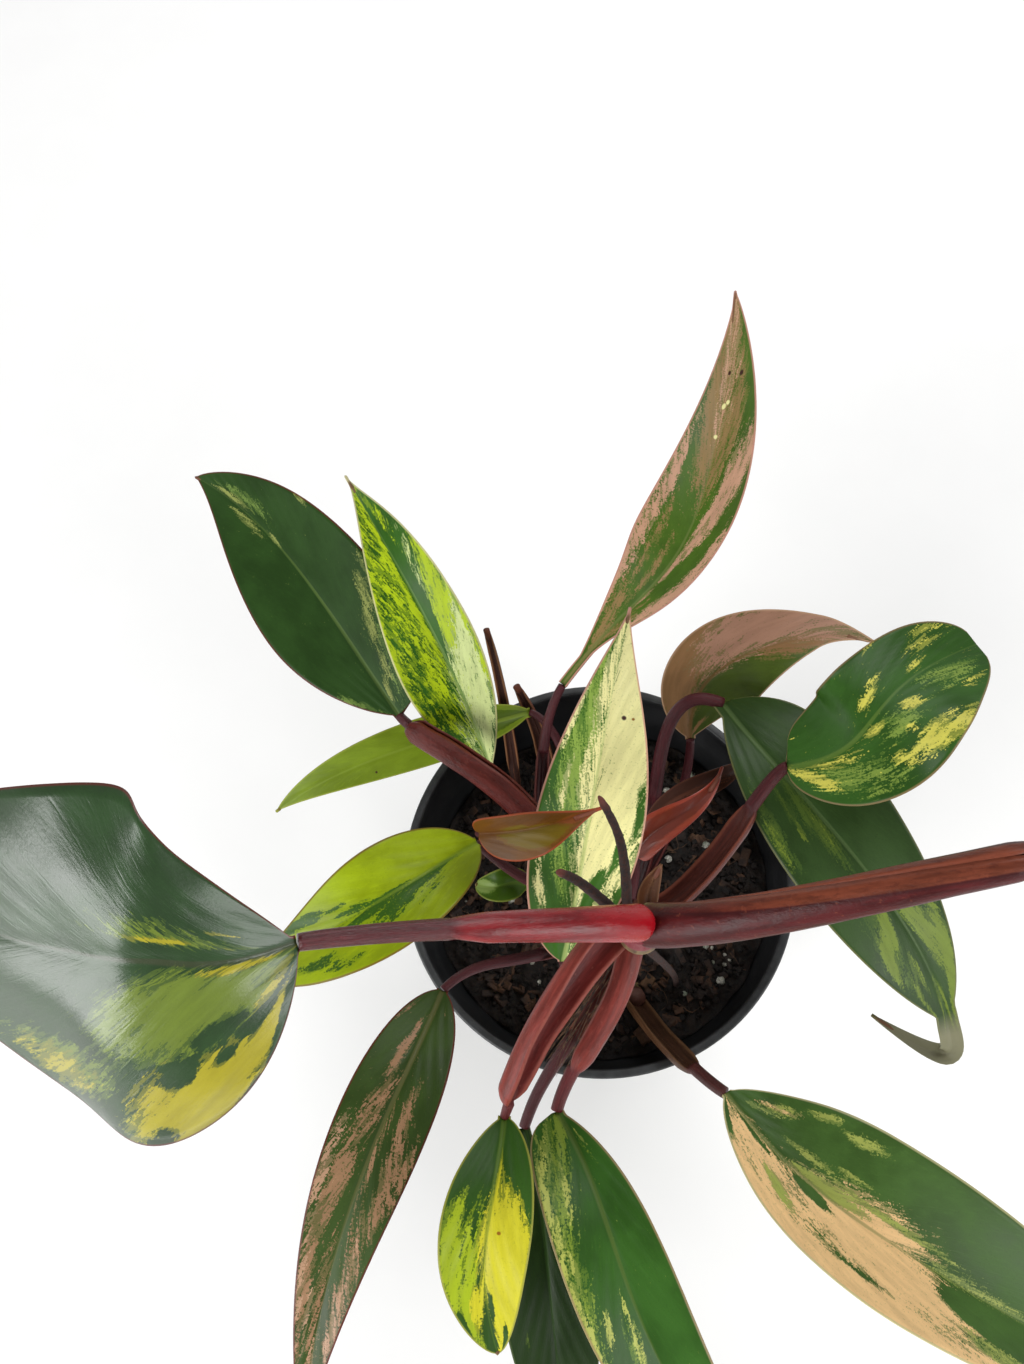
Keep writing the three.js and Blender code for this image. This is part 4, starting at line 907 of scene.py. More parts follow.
def blade_material(name, leaf, settings, seed):
    """Upper face: ground colour, ragged patches along the side veins, midrib, edge and gloss."""
    graph = Graph(name + "_upper")
    vein, reach, edge = graph.attribute("blade")
    along, share, _ = graph.attribute("place")
    light, blush, tail = graph.attribute("marks")
    ground, light_color, blush_color = leaf["colors"]
    grain = leaf.get("grain", 1.0)
    dots = leaf.get("dots", grain)
    drawn = leaf.get("drawn", 1.0)
    slope = leaf.get("veins", VEIN_SLOPE)
    wide = streaks(graph, (vein, reach), slope, (2.6, 9.0 * drawn), seed, 3.0, 0.65)
    fine = streaks(graph, (vein, reach), slope, (0.8, 2.6 * drawn), seed + 5.0)
    other = streaks(graph, (vein, reach), slope, (1.1, 4.0 * drawn), seed + 21.0)
    speck = graph.grain(1900.0, 3.0, 0.6)
    speckled = graph.swing(speck, 2.4 * dots)
    ragged = graph.plus(graph.swing(wide, 2.8 * grain), graph.swing(fine, 3.6 * grain))
    ragged = graph.plus(ragged, speckled)
    loose = graph.plus(graph.swing(other, 4.4 * grain), speckled)
    broad = graph.noise(graph.join(graph.times(along, 0.05), graph.times(reach, 0.08), seed + 9.0))
    color = graph.mottle(broad, scaled(ground, 0.8), scaled(ground, 1.15))
    color = graph.over(color, scaled(ground, 1.6), graph.ramp(fine, 0.5, 0.72), 0.25)
    color = graph.over(color, scaled(ground, 0.6), graph.ramp(speck, 0.45, 0.3), 0.3)
    line = graph.math("PINGPONG", graph.math("DIVIDE", vein, settings.vein_spacing / MM), 0.5)
    veins = graph.times(graph.ramp(line, 0.06, 0.0), graph.ramp(edge, 0.0, 3.0))
    color = graph.over(color, scaled(ground, 1.8), veins, 0.06)
    for field, tone in ((blush, blush_color), (light, light_color)):
        halo = tuple(0.55 * a + 0.45 * b for a, b in zip(scaled(ground, 1.3), tone))
        around = graph.ramp(graph.plus(field, loose), HALO_START, HALO_END)
        color = graph.over(color, halo, around, 0.75)
        shade = graph.blend(graph.ramp(wide, 0.3, 0.7), scaled(tone, 0.86), scaled(tone, 1.06))
        shade = graph.over(shade, halo, graph.ramp(speck, 0.42, 0.32), 0.4 * dots)
        color = graph.blend(graph.ramp(graph.plus(field, ragged), -PATCH_EDGE, PATCH_EDGE), color, shade)
    rib_width = graph.ramp(share, 0.0, 1.0, 0.7, 0.2)
    rib = graph.ramp(graph.math("DIVIDE", graph.math("ABSOLUTE", reach), rib_width), 1.3, 0.5)
    color = graph.blend(graph.times(rib, graph.ramp(share, 0.3, 0.9, 0.65, 0.25)), color, leaf["ribline"])
    for s, t, radius, tone in leaf.get("spots", ()):
        color = graph.blend(spot_mask(graph, along, reach, leaf, s, t, radius), color, tone)
    color = graph.over(color, leaf["margin"], graph.ramp(edge, 0.6, 0.2), 0.85)
    if "curl" in leaf:
        color = graph.blend(tail, color, GREY_TIP)
    height = graph.plus(graph.times(speck, 0.3), graph.times(fine, 0.6))
    height = graph.plus(height, graph.times(veins, -0.15))
    constants = dict(specular_ior_level=0.2)
    bump = (0.3, 0.0002)
    if "sheen" in leaf:
        constants.update(coat_weight=leaf["sheen"], coat_roughness=0.24, coat_ior=1.7)
        height = graph.plus(height, wide)
        bump = (0.3, 0.00025)
    return graph.finish(color, graph.dullness(broad, 0.36, 0.5), height, bump, **constants)


def spot_mask(graph, along, reach, leaf, s, t, radius):
    """1 inside a small round spot given by its place on the blade and its radius in mm."""
    middle = s * curve_length(leaf["rib"])
    aside = t * float(half_width(leaf, np.array([s]), np.array([t]))[0])
    ends = {0: graph.join(along, reach, 0.0), 1: (middle, aside, 0.0)}
    away = graph.node("VectorMath", ends, operation="DISTANCE").outputs["Value"]
    return graph.ramp(away, radius, radius * 0.5)


def under_material(name, leaf):
    """Underside: duller and paler, with the raised midrib."""
    graph = Graph(name + "_under")
    vein, reach, edge = graph.attribute("blade")
    light, blush, _ = graph.attribute("marks")
    ground, light_color, blush_color = leaf["colors"]
    fine = graph.noise(graph.join(graph.times(vein, 0.5), graph.times(reach, 0.12), 3.0), 1.0, 4.0)
    pale = tuple(0.75 * a + 0.25 * b for a, b in zip(ground, UNDERSIDE_TINT))
    color = graph.mottle(fine, scaled(pale, 0.85), scaled(pale, 1.2))
    color = graph.over(color, scaled(blush_color, 0.8), graph.ramp(blush, -0.2, 0.3), 0.7)
    color = graph.over(color, scaled(light_color, 0.8), graph.ramp(light, -0.2, 0.3), 0.7)
    rib = graph.ramp(graph.math("ABSOLUTE", reach), 1.4, 0.6)
    color = graph.over(color, UNDERSIDE_MIDRIB, rib, 0.6)
    color = graph.over(color, leaf["margin"], graph.ramp(edge, 0.75, 0.25), 0.85)
    return graph.finish(color, graph.dullness(fine, 0.46, 0.6), fine, (0.2, 0.0002), specular_ior_level=0.25)


def close_holes(sheet):
    bmesh.ops.holes_fill(sheet, edges=[e for e in sheet.edges if e.is_boundary], sides=0)
    bmesh.ops.recalc_face_normals(sheet, faces=sheet.faces)


def ring(radius, angle):
    """A round section, seen as tube_sheet reads it."""
    return radius * np.sin(angle), -radius * np.cos(angle)


def tube_sheet(points, face, sides, segments, section, end=1.0):
    """A closed tube along a curve; section(s, angle) gives how far across and up each point lies, in mm."""
    sheet = new_grid(sides, segments)
    x, y = grid_places(sheet)
    angle = -x * math.pi
    share = (y + 1) / 2
    place, _, side, normal = curve_frame(points, face, end * share)
    across, up = section(share, angle)
    move_to(sheet, place - side * across[:, None] + normal * up[:, None])
    set_vectors(sheet, "stalk", share * curve_length(points), angle, share)
    bmesh.ops.remove_doubles(sheet, verts=sheet.verts, dist=1e-7)
    close_holes(sheet)
    return sheet


def smooth_step(value, low, high):
    x = np.clip((value - low) / (high - low), 0, 1)
    return x * x * (3 - 2 * x)


def uneven(share, angle, length, seed, fine=1.0):
    """Small bumps that run along a stalk, from -1 to 1."""
    return np.array([
        noise.noise(Vector((s * length * 0.12 * fine, math.cos(a) * 1.6 + seed, math.sin(a) * 1.6)))
        for s, a in zip(share, angle)
    ])


def stalk_section(stalk, relief, seed):
    """Round stalk that opens into a channel with thin, slightly ragged wings."""
    first, last, sheath_end = stalk["sheath"]
    spread = math.radians(stalk.get("spread", WING_SPREAD))
    twist = [math.radians(a) for a in stalk.get("twist", (0, 0))]
    start = stalk.get("closed", -0.1)
    length = curve_length(stalk["route"])

    def section(s, angle):
        bumps = uneven(s, angle, length, seed) * relief
        round_radius = stalk["radius"][0] + (stalk["radius"][1] - stalk["radius"][0]) * s + bumps
        closing = np.sqrt(np.clip((sheath_end - s) / SHEATH_CLOSES, 0, 1))
        opening = smooth_step(s, start, start + SHEATH_OPENS) * closing
        outside = np.abs(angle) <= math.pi / 2 + 0.01
        share = np.where(outside, np.abs(angle), math.pi - np.abs(angle)) / (math.pi / 2)
        width = first + (last - first) * np.minimum(s / sheath_end, 1)
        ragged = 1 + stalk.get("ragged", 0.02) * np.sin(s * length * 0.35 + seed) * share
        turn = np.sign(angle) * share * spread * ragged
        wall = WING_WALL * (1 - 0.55 * share ** 4) + BACK_WALL * np.cos(turn / 2) ** 4
        radius = np.where(outside, width + bumps, np.maximum(width - wall + bumps * 0.5, 0.1))
        across = round_radius * np.sin(angle) * (1 - opening) + radius * np.sin(turn) * opening
        up = -round_radius * np.cos(angle) * (1 - opening) - radius * np.cos(turn) * opening
        if "round_foot" in stalk:
            rise = np.sqrt(1 - np.clip(1 - s * length / width, 0, 1) ** 2)
            across, up = across * rise, up * rise
        swung = twist[0] + (twist[1] - twist[0]) * s
        return across * np.cos(swung) - up * np.sin(swung), across * np.sin(swung) + up * np.cos(swung)

    return section


def stalk_material(name, stalk, seed):
    """Back, channel, wing edges and bare stalk in their own reds, with pale pores, painted shade in the
    wrinkles' hollows and painted light on their ridges.
    """
    graph = Graph(name + "_skin")
    along, angle, share = graph.attribute("stalk")
    back, channel, edge, far = stalk["colors"]
    sheath_end = stalk["sheath"][2]
    turned = graph.math("ABSOLUTE", angle)
    inside = graph.ramp(turned, 1.62, 1.9)
    wing = graph.times(graph.ramp(turned, 1.4, 1.52), graph.ramp(turned, 1.76, 1.62))
    opened = graph.ramp(share, sheath_end + 0.01, sheath_end - 0.04)
    grain = graph.noise(graph.around(along, angle, 0.06, 2.2), 1.6, 5.0, 0.65)
    pores = graph.noise(graph.join(graph.times(along, 0.45), graph.times(angle, 2.6), seed), 1.5, 2.0)
    lines = graph.join(graph.times(along, 0.3), graph.times(angle, 5.0), seed + 3.0)
    wrinkles = graph.noise(lines, 1.5, 5.0, 0.65)
    color = graph.mottle(grain, scaled(back, 0.66), scaled(back, 1.2))
    deep = graph.mottle(grain, scaled(channel, 0.62), scaled(channel, 1.15))
    bare = graph.mottle(grain, scaled(far, 0.66), scaled(far, 1.2))
    if "band" in stalk:
        start = stalk["band"]
        upper = graph.times(graph.ramp(turned, start, start + 0.06), graph.ramp(share, 0.1, 0.45))
        # A painted shade line along the groove where the brown upper side meets the wine-red lower side.
        groove_shade = graph.times(graph.ramp(turned, start - 0.1, start), graph.ramp(turned, start + 0.05, start))
        color = graph.blend(upper, color, deep)
        color = graph.over(color, scaled(back, 0.4), groove_shade, 0.6)
    color = graph.blend(inside, color, deep)
    color = graph.over(color, edge, wing, 0.8)
    color = graph.blend(opened, bare, color)
    # Painted shade in the hollows of the wrinkles and painted light on their ridges.
    color = graph.over(color, scaled(back, 0.45), graph.ramp(wrinkles, 0.5, 0.66), 0.3)
    color = graph.over(color, scaled(edge, 1.1), graph.ramp(wrinkles, 0.42, 0.3), 0.25)
    color = graph.over(color, scaled(edge, 1.1), graph.ramp(pores, 0.66, 0.74), 0.35)
    foot = graph.ramp(share, stalk.get("foot_end", 0.12), 0.02)
    color = graph.over(color, stalk.get("foot", DRY_FOOT), foot, 0.7)
    wrinkled = stalk.get("wrinkled", 1)
    height = graph.plus(graph.times(wrinkles, -1.2 * wrinkled), graph.times(pores, 0.4))
    if wrinkled > 1:
        height = graph.plus(height, graph.times(graph.grain(1400.0, 3.0, 0.6), 1.2))
    gloss = stalk.get("gloss", 0.34)
    shine = stalk.get("shine", 0.25)
    roughness = graph.dullness(grain, gloss, gloss + 0.16)
    return graph.finish(color, roughness, height, (0.5, 0.0003), specular_ior_level=shine)


def stem_sheet(stem, settings, seed):
    length = curve_length(stem["route"])
    relief = settings.relief / MM * 2

    def section(s, angle):
        rings = np.minimum(sum(np.exp(-((s - at) * RING_SHARPNESS) ** 2) for at in stem["rings"]), 1)
        radius = stem["radius"] * (1 - STEM_TAPER * s) + RING_HEIGHT * rings
        return ring(radius + uneven(s, angle, length, seed, 3.0) * relief, angle)

    return tube_sheet(stem["route"], (0, 1, 0), settings.sides, settings.segments * 2, section)


def stem_material(name, stem):
    """Brown-green bark with pale leaf-scar rings and corky flecks."""
    graph = Graph(name + "_bark")
    along, angle, share = graph.attribute("stalk")
    cork = graph.noise(graph.around(along, angle, 0.12, 2.0), 2.0, 6.0, 0.65)
    color = graph.mottle(cork, paint(62, 44, 26), paint(124, 104, 66))
    for at in stem["rings"]:
        away = graph.math("ABSOLUTE", graph.math("SUBTRACT", share, at))
        color = graph.over(color, paint(124, 98, 62), graph.ramp(away, 0.016, 0.004), 0.6)
    color = graph.over(color, paint(140, 120, 84), graph.ramp(cork, 0.62, 0.7), 0.5)
    color = graph.blend(graph.ramp(share, 0.89, 0.94), color, stem["tip"])
    return graph.finish(color, graph.dullness(cork, 0.45, 0.7), cork, (0.6, 0.0005))


def root_sheet(root, settings, seed):
    length = curve_length(root["route"])

    def section(s, angle):
        radius = root["radius"][0] + (root["radius"][1] - root["radius"][0]) * s
        tip = np.sqrt(np.clip((1 - s) * 12, 0, 1))
        return ring(radius * (0.25 + 0.75 * tip) + uneven(s, angle, length, seed, 6.0) * ROOT_BUMPS, angle)

    return tube_sheet(root["route"], (0, 1, 0), ROOT_SIDES, settings.segments, section)


def root_material(name):
    """Dark purple-brown rough root with a redder tip."""
    graph = Graph(name + "_skin")
    share = graph.attribute("stalk")[2]
    rough = graph.grain(1100.0, 5.0, 0.7)
    color = graph.mottle(rough, paint(26, 14, 12), paint(64, 36, 28))
    color = graph.blend(graph.ramp(share, 0.86, 0.98), color, paint(100, 50, 40))
    return graph.finish(color, graph.dullness(rough, 0.7, 0.9), rough, (0.9, 0.0005))


def add_strand(sheet, points, radius):
    """One thin strand through a few points in mm, as a slim closed tube."""
    places = [Vector(p) * MM for p in points]
    before = None
    for index, place in enumerate(places):
        ahead = places[min(index + 1, len(places) - 1)] - places[max(index - 1, 0)]
        turn = ahead.to_track_quat("Z", "Y").to_matrix().to_4x4()
        taper = radius * (1 - 0.7 * index / (len(places) - 1))
        circle = bmesh.ops.create_circle(
            sheet, cap_ends=index in (0, len(places) - 1), segments=STRAND_SIDES, radius=taper,
            matrix=Matrix.Translation(place) @ turn,
        )["verts"]
        loop = list({e for v in circle for e in v.link_edges if all(w in circle for w in e.verts)})
        loop = [e for e in loop if len(e.link_faces) < 2]
        if before is not None:
            bmesh.ops.bridge_loops(sheet, edges=before + loop)
        before = loop


def fibre_material():
    """Dry brown fibre."""
    graph = Graph("dry_fibre")
    rough = graph.grain(600.0)
    color = graph.mottle(rough, paint(40, 26, 18), paint(100, 72, 48))
    return graph.finish(color, 0.75, rough, (0.3, 0.0001))


def frayed_sheath(settings):
    """Dry fibres of an old sheath that cling to the plain front leaf's stalk."""
    stalk = STALKS["petiole_front_plain"]
    rng = random.Random(11)
    sheet = bmesh.new()
    for _ in range(settings.strands):
        start = rng.uniform(0.02, 0.5)
        reach = rng.uniform(0.1, 0.28)
        angle = rng.uniform(0, 2 * math.pi)
        spread = rng.uniform(-0.9, 0.9)
        s = np.linspace(start, min(start + reach, 0.68), 6)
        place, _, side, normal = curve_frame(stalk["route"], UPRIGHT, s)
        away = np.linspace(2.3, 2.6 + rng.uniform(0, 0.9), 6)
        turn = angle + spread * np.linspace(0, 1, 6)
        points = place + side * (away * np.sin(turn))[:, None] + normal * (away * np.cos(turn))[:, None]
        add_strand(sheet, [tuple(p) for p in points], settings.strand_radius * rng.uniform(0.7, 1.4))
    return sheet


def soil_height(x, y):
    """Height in mm of the soil's top, which slopes and rolls softly."""
    broad = np.sin(0.11 * x + 1.3) * np.cos(0.09 * y - 0.6)
    lumps = np.sin(0.37 * x - 0.21 * y) * np.cos(0.33 * y + 0.29 * x + 0.8)
    return SOIL_TOP + SOIL_SLOPE[0] * x + SOIL_SLOPE[1] * y + SOIL_RELIEF * (0.6 * broad + 0.8 * lumps)


def wall_at(z):
    """Radius in mm of the soil's side at a height."""
    rise = (z - SOIL_FLOOR) / (POT_HEIGHT - LIP_HEIGHT - 2 - SOIL_FLOOR)
    return BASE_RADIUS - POT_WALL - SOIL_GAP + (NECK_RADIUS - BASE_RADIUS) * rise


def soil_sheet(settings):
    """Crumbled top that reaches the pot's wall, and a closed side and base below it."""
    sheet = new_grid(settings.steps, settings.steps)
    x, y = grid_places(sheet)
    reach = np.maximum(np.abs(x), np.abs(y))
    far = np.maximum(np.hypot(x, y), 1e-9)
    x, y = x * reach / far, y * reach / far
    rim = wall_at(soil_height(x * NECK_RADIUS, y * NECK_RADIUS))
    x, y = x * rim, y * rim
    z = soil_height(x, y)
    crumbs = np.array([
        1.5 * abs(noise.noise(Vector((a * 0.22, b * 0.22, 0.5))))
        + 1.0 * noise.noise(Vector((a * 0.55, b * 0.55, 3.0)))
        + 0.5 * noise.noise(Vector((a * 1.2, b * 1.2, 7.0))) for a, b in zip(x, y)
    ])
    inside = np.clip((1 - reach) * 30, 0, 1)
    move_to(sheet, np.stack([x, y, z + (crumbs - 0.2) * inside], axis=1))
    edge = [e for e in sheet.edges if e.is_boundary]
    skirt = bmesh.ops.extrude_edge_only(sheet, edges=edge)["geom"]
    narrow = wall_at(SOIL_FLOOR) / wall_at(SOIL_TOP)
    for vertex in [g for g in skirt if isinstance(g, bmesh.types.BMVert)]:
        vertex.co = (vertex.co.x * narrow, vertex.co.y * narrow, SOIL_FLOOR * MM)
    close_holes(sheet)
    return sheet


def soil_material(settings):
    """Moist peat with brown crumbs on top, near black in the hollows of its bump: partly its own tone, partly
    painted shade.
    """
    graph = Graph("peat")
    grain = graph.grain(420.0, 7.0, 0.7)
    damp = graph.grain(60.0, 2.0)
    base = tuple(settings.color)
    # Dark where the bump is low: partly the peat's own tone, partly painted shade in the hollows.
    color = graph.blend(graph.ramp(grain, 0.38, 0.66), scaled(base, 0.25), scaled(base, 1.4))
    color = graph.over(color, scaled(base, 0.5), graph.ramp(damp, 0.5, 0.7), 0.4)
    color = graph.over(color, paint(92, 68, 48), graph.ramp(grain, 0.68, 0.76), 0.4)
    return graph.finish(color, graph.dullness(grain, 0.7, 0.95), grain, (1.0, 0.001))


def open_spot(rng, margin):
    """A random place on the soil, in mm, away from the pot's wall."""
    while True:
        x, y = rng.uniform(-55, 55), rng.uniform(-55, 55)
        z = float(soil_height(np.array(x), np.array(y)))
        if math.hypot(x, y) < wall_at(z) - margin:
            return x, y, z


def jitter(verts, amount, rng):
    for vertex in verts:
        vertex.co += Vector([rng.uniform(-amount, amount) for _ in range(3)])


def chips_sheet(settings):
    """Broken, slightly bevelled slivers of bark that lie at all angles."""
    rng = random.Random(23)
    sheet = bmesh.new()
    for _ in range(settings.chips):
        x, y, z = open_spot(rng, 4.5)
        long, wide = rng.triangular(*CHIP_LENGTHS), rng.uniform(*CHIP_WIDTHS)
        thick = rng.uniform(*CHIP_DEPTHS)
        turn = Matrix.Rotation(rng.uniform(0, FULL_TURN), 4, "Z")
        turn = turn @ Matrix.Rotation(rng.gauss(0, 0.45), 4, "X")
        turn = turn @ Matrix.Rotation(rng.gauss(0, 0.35), 4, "Y")
        matrix = Matrix.Translation(Vector((x, y, z + rng.uniform(0.1, 0.9))) * MM) @ turn
        size = Matrix.Diagonal((long * MM, wide * MM, thick * MM, 1))
        verts = bmesh.ops.create_cube(sheet, size=1.0, matrix=matrix @ size)["verts"]
        jitter(verts, CHIP_JITTER * MM, rng)
        edges = list({e for v in verts for e in v.link_edges})
        bmesh.ops.bevel(
            sheet, geom=edges, offset=CHIP_BEVEL * MM, segments=1, profile=0.5, affect="EDGES", material=-1
        )
    return sheet


def chip_material():
    """Bark in browns that change from chip to chip, with a lengthwise grain."""
    graph = Graph("bark_chip")
    tone = graph.grain(130.0, 1.0)
    grain = graph.grain(900.0, 5.0, 0.7)
    color = graph.blend(graph.ramp(tone, 0.38, 0.62), paint(34, 22, 17), paint(84, 56, 37))
    color = graph.over(color, paint(52, 34, 25), graph.ramp(grain, 0.45, 0.65), 0.5)
    color = graph.over(color, paint(112, 82, 56), graph.ramp(tone, 0.62, 0.72), 0.6)
    return graph.finish(color, graph.dullness(grain, 0.65, 0.85), grain, (0.8, 0.0004))


def crumbs_sheet(settings):
    """Small lumps of peat, each squeezed and turned its own way."""
    rng = random.Random(29)
    sheet = bmesh.new()
    for _ in range(settings.crumbs):
        x, y, z = open_spot(rng, 2.5)
        radius = rng.triangular(*CRUMB_RADII) * MM
        turn = Matrix.Rotation(rng.uniform(0, FULL_TURN), 4, (0.4, 0.5, 0.77))
        size = Matrix.Diagonal((rng.uniform(0.8, 1.5), 1, rng.uniform(0.6, 1), 1))
        matrix = Matrix.Translation(Vector((x, y, z + rng.uniform(0.1, 1.0))) * MM) @ turn @ size
        verts = bmesh.ops.create_icosphere(sheet, subdivisions=1, radius=radius, matrix=matrix)["verts"]
        jitter(verts, CRUMB_JITTER * radius, rng)
    return sheet


def grains_sheet(settings):
    """Rounded, popped grains of perlite, half sunk in the soil."""
    rng = random.Random(31)
    sheet = bmesh.new()
    for index in range(settings.grains):
        x, y, z = open_spot(rng, 3.5)
        while index < HEAP_GRAINS and math.hypot(x - PERLITE_HEAP[0], y - PERLITE_HEAP[1]) > HEAP_RADIUS:
            x, y, z = open_spot(rng, 5.0)
        radius = rng.choice(GRAIN_RADII) * MM
        place = Vector((x, y, z + rng.uniform(0.2, 1.0))) * MM
        matrix = Matrix.Translation(place)
        verts = bmesh.ops.create_icosphere(sheet, subdivisions=2, radius=radius, matrix=matrix)["verts"]
        seed = rng.uniform(0, 50)
        for vertex in verts:
            lump = noise.noise((vertex.co - place) / radius * 1.4 + Vector((seed, 0, 0)))
            vertex.co = place + (vertex.co - place) * (1 + 0.45 * lump)
    return sheet


def grain_material():
    """White perlite, greened in places."""
    graph = Graph("perlite")
    rough = graph.grain(1500.0, 4.0)
    tone = graph.grain(70.0, 1.0)
    color = graph.mottle(rough, paint(140, 138, 126), paint(206, 204, 194))
    color = graph.over(color, paint(104, 122, 100), graph.ramp(tone, 0.5, 0.6), 0.8)
    return graph.finish(color, 0.8, rough, (0.8, 0.0003))


def dead_roots_sheet(settings):
    """Fine dead roots and fibres lying over the soil."""
    rng = random.Random(47)
    sheet = bmesh.new()
    for _ in range(settings.fibres):
        x, y, _ = open_spot(rng, 9.0)
        heading = rng.uniform(0, FULL_TURN)
        points = []
        for _ in range(7):
            z = float(soil_height(np.array(x), np.array(y)))
            points.append((x, y, z + rng.uniform(0.9, 2.0)))
            heading += rng.gauss(0, 0.5)
            x, y = x + 1.6 * math.cos(heading), y + 1.6 * math.sin(heading)
        add_strand(sheet, points, rng.uniform(0.1, 0.24) * MM)
    return sheet


def arc(centre_x, centre_z, radius, start, end, count):
    """Points of an arc in a profile, angles in degrees."""
    angles = [math.radians(start + (end - start) * i / count) for i in range(count + 1)]
    return [(centre_x + radius * math.cos(a), centre_z + radius * math.sin(a)) for a in angles]


def line_of(first, last, count=12):
    """Evenly spaced points of a straight stretch in a profile."""
    return [tuple(a + (b - a) * i / count for a, b in zip(first, last)) for i in range(count + 1)]


def pot_profile():
    """The pot's wall from the middle of its underside, over the rim and back to the middle of its floor."""
    neck = POT_HEIGHT - LIP_HEIGHT
    top_round = 0.8
    rise = line_of((BASE_RADIUS, 1.5), (NECK_RADIUS, neck - 1.9))
    fall = line_of((NECK_RADIUS - POT_WALL, neck - 2), (BASE_RADIUS - POT_WALL, POT_FLOOR))
    return [
        (0, 0), (6, 0), (DRAIN_HOLE_RING - 8, 0), (DRAIN_HOLE_RING + 8, 0),
        *arc(BASE_RADIUS - 1.2, 1.2, 1.2, -90, -10, 5), *rise[1:],
        *arc(NECK_RADIUS + 0.7, neck - 0.6, 0.6, 180, 90, 4),
        *arc(RIM_RADIUS - 0.7, neck + 0.7, 0.7, -90, 0, 5),
        (RIM_RADIUS, neck + 3), (RIM_RADIUS, POT_HEIGHT - 3),
        *arc(RIM_RADIUS - top_round, POT_HEIGHT - top_round, top_round, 0, 90, 6),
        *arc(RIM_RADIUS - LIP_WIDTH + top_round, POT_HEIGHT - top_round, top_round, 90, 180, 6),
        (RIM_RADIUS - LIP_WIDTH, neck + 1.5), *fall,
        (DRAIN_HOLE_RING + 8, POT_FLOOR), (DRAIN_HOLE_RING - 8, POT_FLOOR), (6, POT_FLOOR),
        (0, POT_FLOOR),
    ]


def pot_sheet(settings):
    """The profile spun round the pot's axis."""
    sheet = bmesh.new()
    verts = [sheet.verts.new((r * MM, 0, z * MM)) for r, z in pot_profile()]
    edges = [sheet.edges.new(pair) for pair in zip(verts, verts[1:])]
    bmesh.ops.spin(
        sheet, geom=verts + edges, cent=(0, 0, 0), axis=(0, 0, 1), dvec=(0, 0, 0), angle=2 * math.pi,
        steps=settings.steps, use_merge=True, use_duplicate=False,
    )
    bmesh.ops.remove_doubles(sheet, verts=sheet.verts, dist=1e-6)
    bmesh.ops.recalc_face_normals(sheet, faces=sheet.faces)
    return sheet


def cut_drain_holes(pot):
    """Six round holes through the pot's floor, cut once and applied."""
    cutter = bmesh.new()
    for i in range(DRAIN_HOLES):
        angle = 2 * math.pi * i / DRAIN_HOLES
        place = Vector((DRAIN_HOLE_RING * math.cos(angle), DRAIN_HOLE_RING * math.sin(angle), 0)) * MM
        bmesh.ops.create_cone(
            cutter, cap_ends=True, segments=32, radius1=DRAIN_HOLE_RADIUS * MM,
            radius2=DRAIN_HOLE_RADIUS * MM, depth=10 * MM, matrix=Matrix.Translation(place),
        )
    mesh = bpy.data.meshes.new("drain_cutter")
    cutter.to_mesh(mesh)
    cutter.free()
    tool = bpy.data.objects.new("drain_cutter", mesh)
    bpy.context.scene.collection.objects.link(tool)
    cut = pot.modifiers.new("Drain holes", "BOOLEAN")
    cut.object = tool
    cut.operation = "DIFFERENCE"
    cut.solver = "EXACT"
    bpy.context.view_layer.update()
    finished = bpy.data.meshes.new_from_object(pot.evaluated_get(bpy.context.evaluated_depsgraph_get()))
    pot.modifiers.clear()
    pot.data = finished
    bpy.data.objects.remove(tool)


def pot_material(settings):
    """Matte black moulded plastic, rubbed grey along the rim, with dust and water marks."""
    graph = Graph("nursery_pot_plastic")
    plastic, worn = tuple(settings.color), tuple(settings.worn)
    rub = graph.grain(240.0, 4.0, 0.6)
    dust = graph.grain(38.0, 5.0, 0.65)
    height = graph.node("SeparateXYZ", {0: graph.node("TexCoord").outputs["Object"]}).outputs[2]
    pointiness = graph.node("NewGeometry").outputs["Pointiness"]
    near_rim = graph.ramp(height, (POT_HEIGHT - 3) * MM, (POT_HEIGHT - 0.2) * MM)
    color = graph.blend(graph.ramp(dust, 0.4, 0.7), plastic, scaled(plastic, 1.9))
    edge = graph.times(graph.ramp(pointiness, 0.5, 0.6), graph.ramp(rub, 0.35, 0.6))
    color = graph.over(color, worn, edge, 0.5)
    color = graph.over(color, worn, near_rim, graph.ramp(rub, 0.3, 0.7, 0.15, 0.6))
    grain = graph.grain(2200.0, 2.0)
    return graph.finish(color, graph.dullness(dust, 0.42, 0.6), grain, (0.25, 0.0001))


class PLANT_OT_pot(bpy.types.Operator):
    """Add the moulded nursery pot"""
    bl_idname = "plant.pot"
    bl_label = "Nursery pot"

    def execute(self, context):
        settings = context.scene.plant_pot
        pot = add_piece("nursery_pot", pot_sheet(settings), [pot_material(settings)], ["pot"])
        cut_drain_holes(pot)
        return {"FINISHED"}


class PLANT_OT_soil(bpy.types.Operator):
    """Add the potting mix with its bark, crumbs, perlite and dead roots"""
    bl_idname = "plant.soil"
    bl_label = "Potting mix"

    def execute(self, context):
        settings = context.scene.plant_soil
        mix = "potting_mix"
        add_piece("soil_surface", soil_sheet(settings), [soil_material(settings)], [mix])
        add_piece("bark_chips", chips_sheet(settings), [chip_material()], smooth=False)
        add_piece("peat_crumbs", crumbs_sheet(settings), [soil_material(settings)], smooth=False)
        add_piece("perlite_grains", grains_sheet(settings), [grain_material()])
        add_piece("dead_roots", dead_roots_sheet(settings), [fibre_material()])
        return {"FINISHED"}


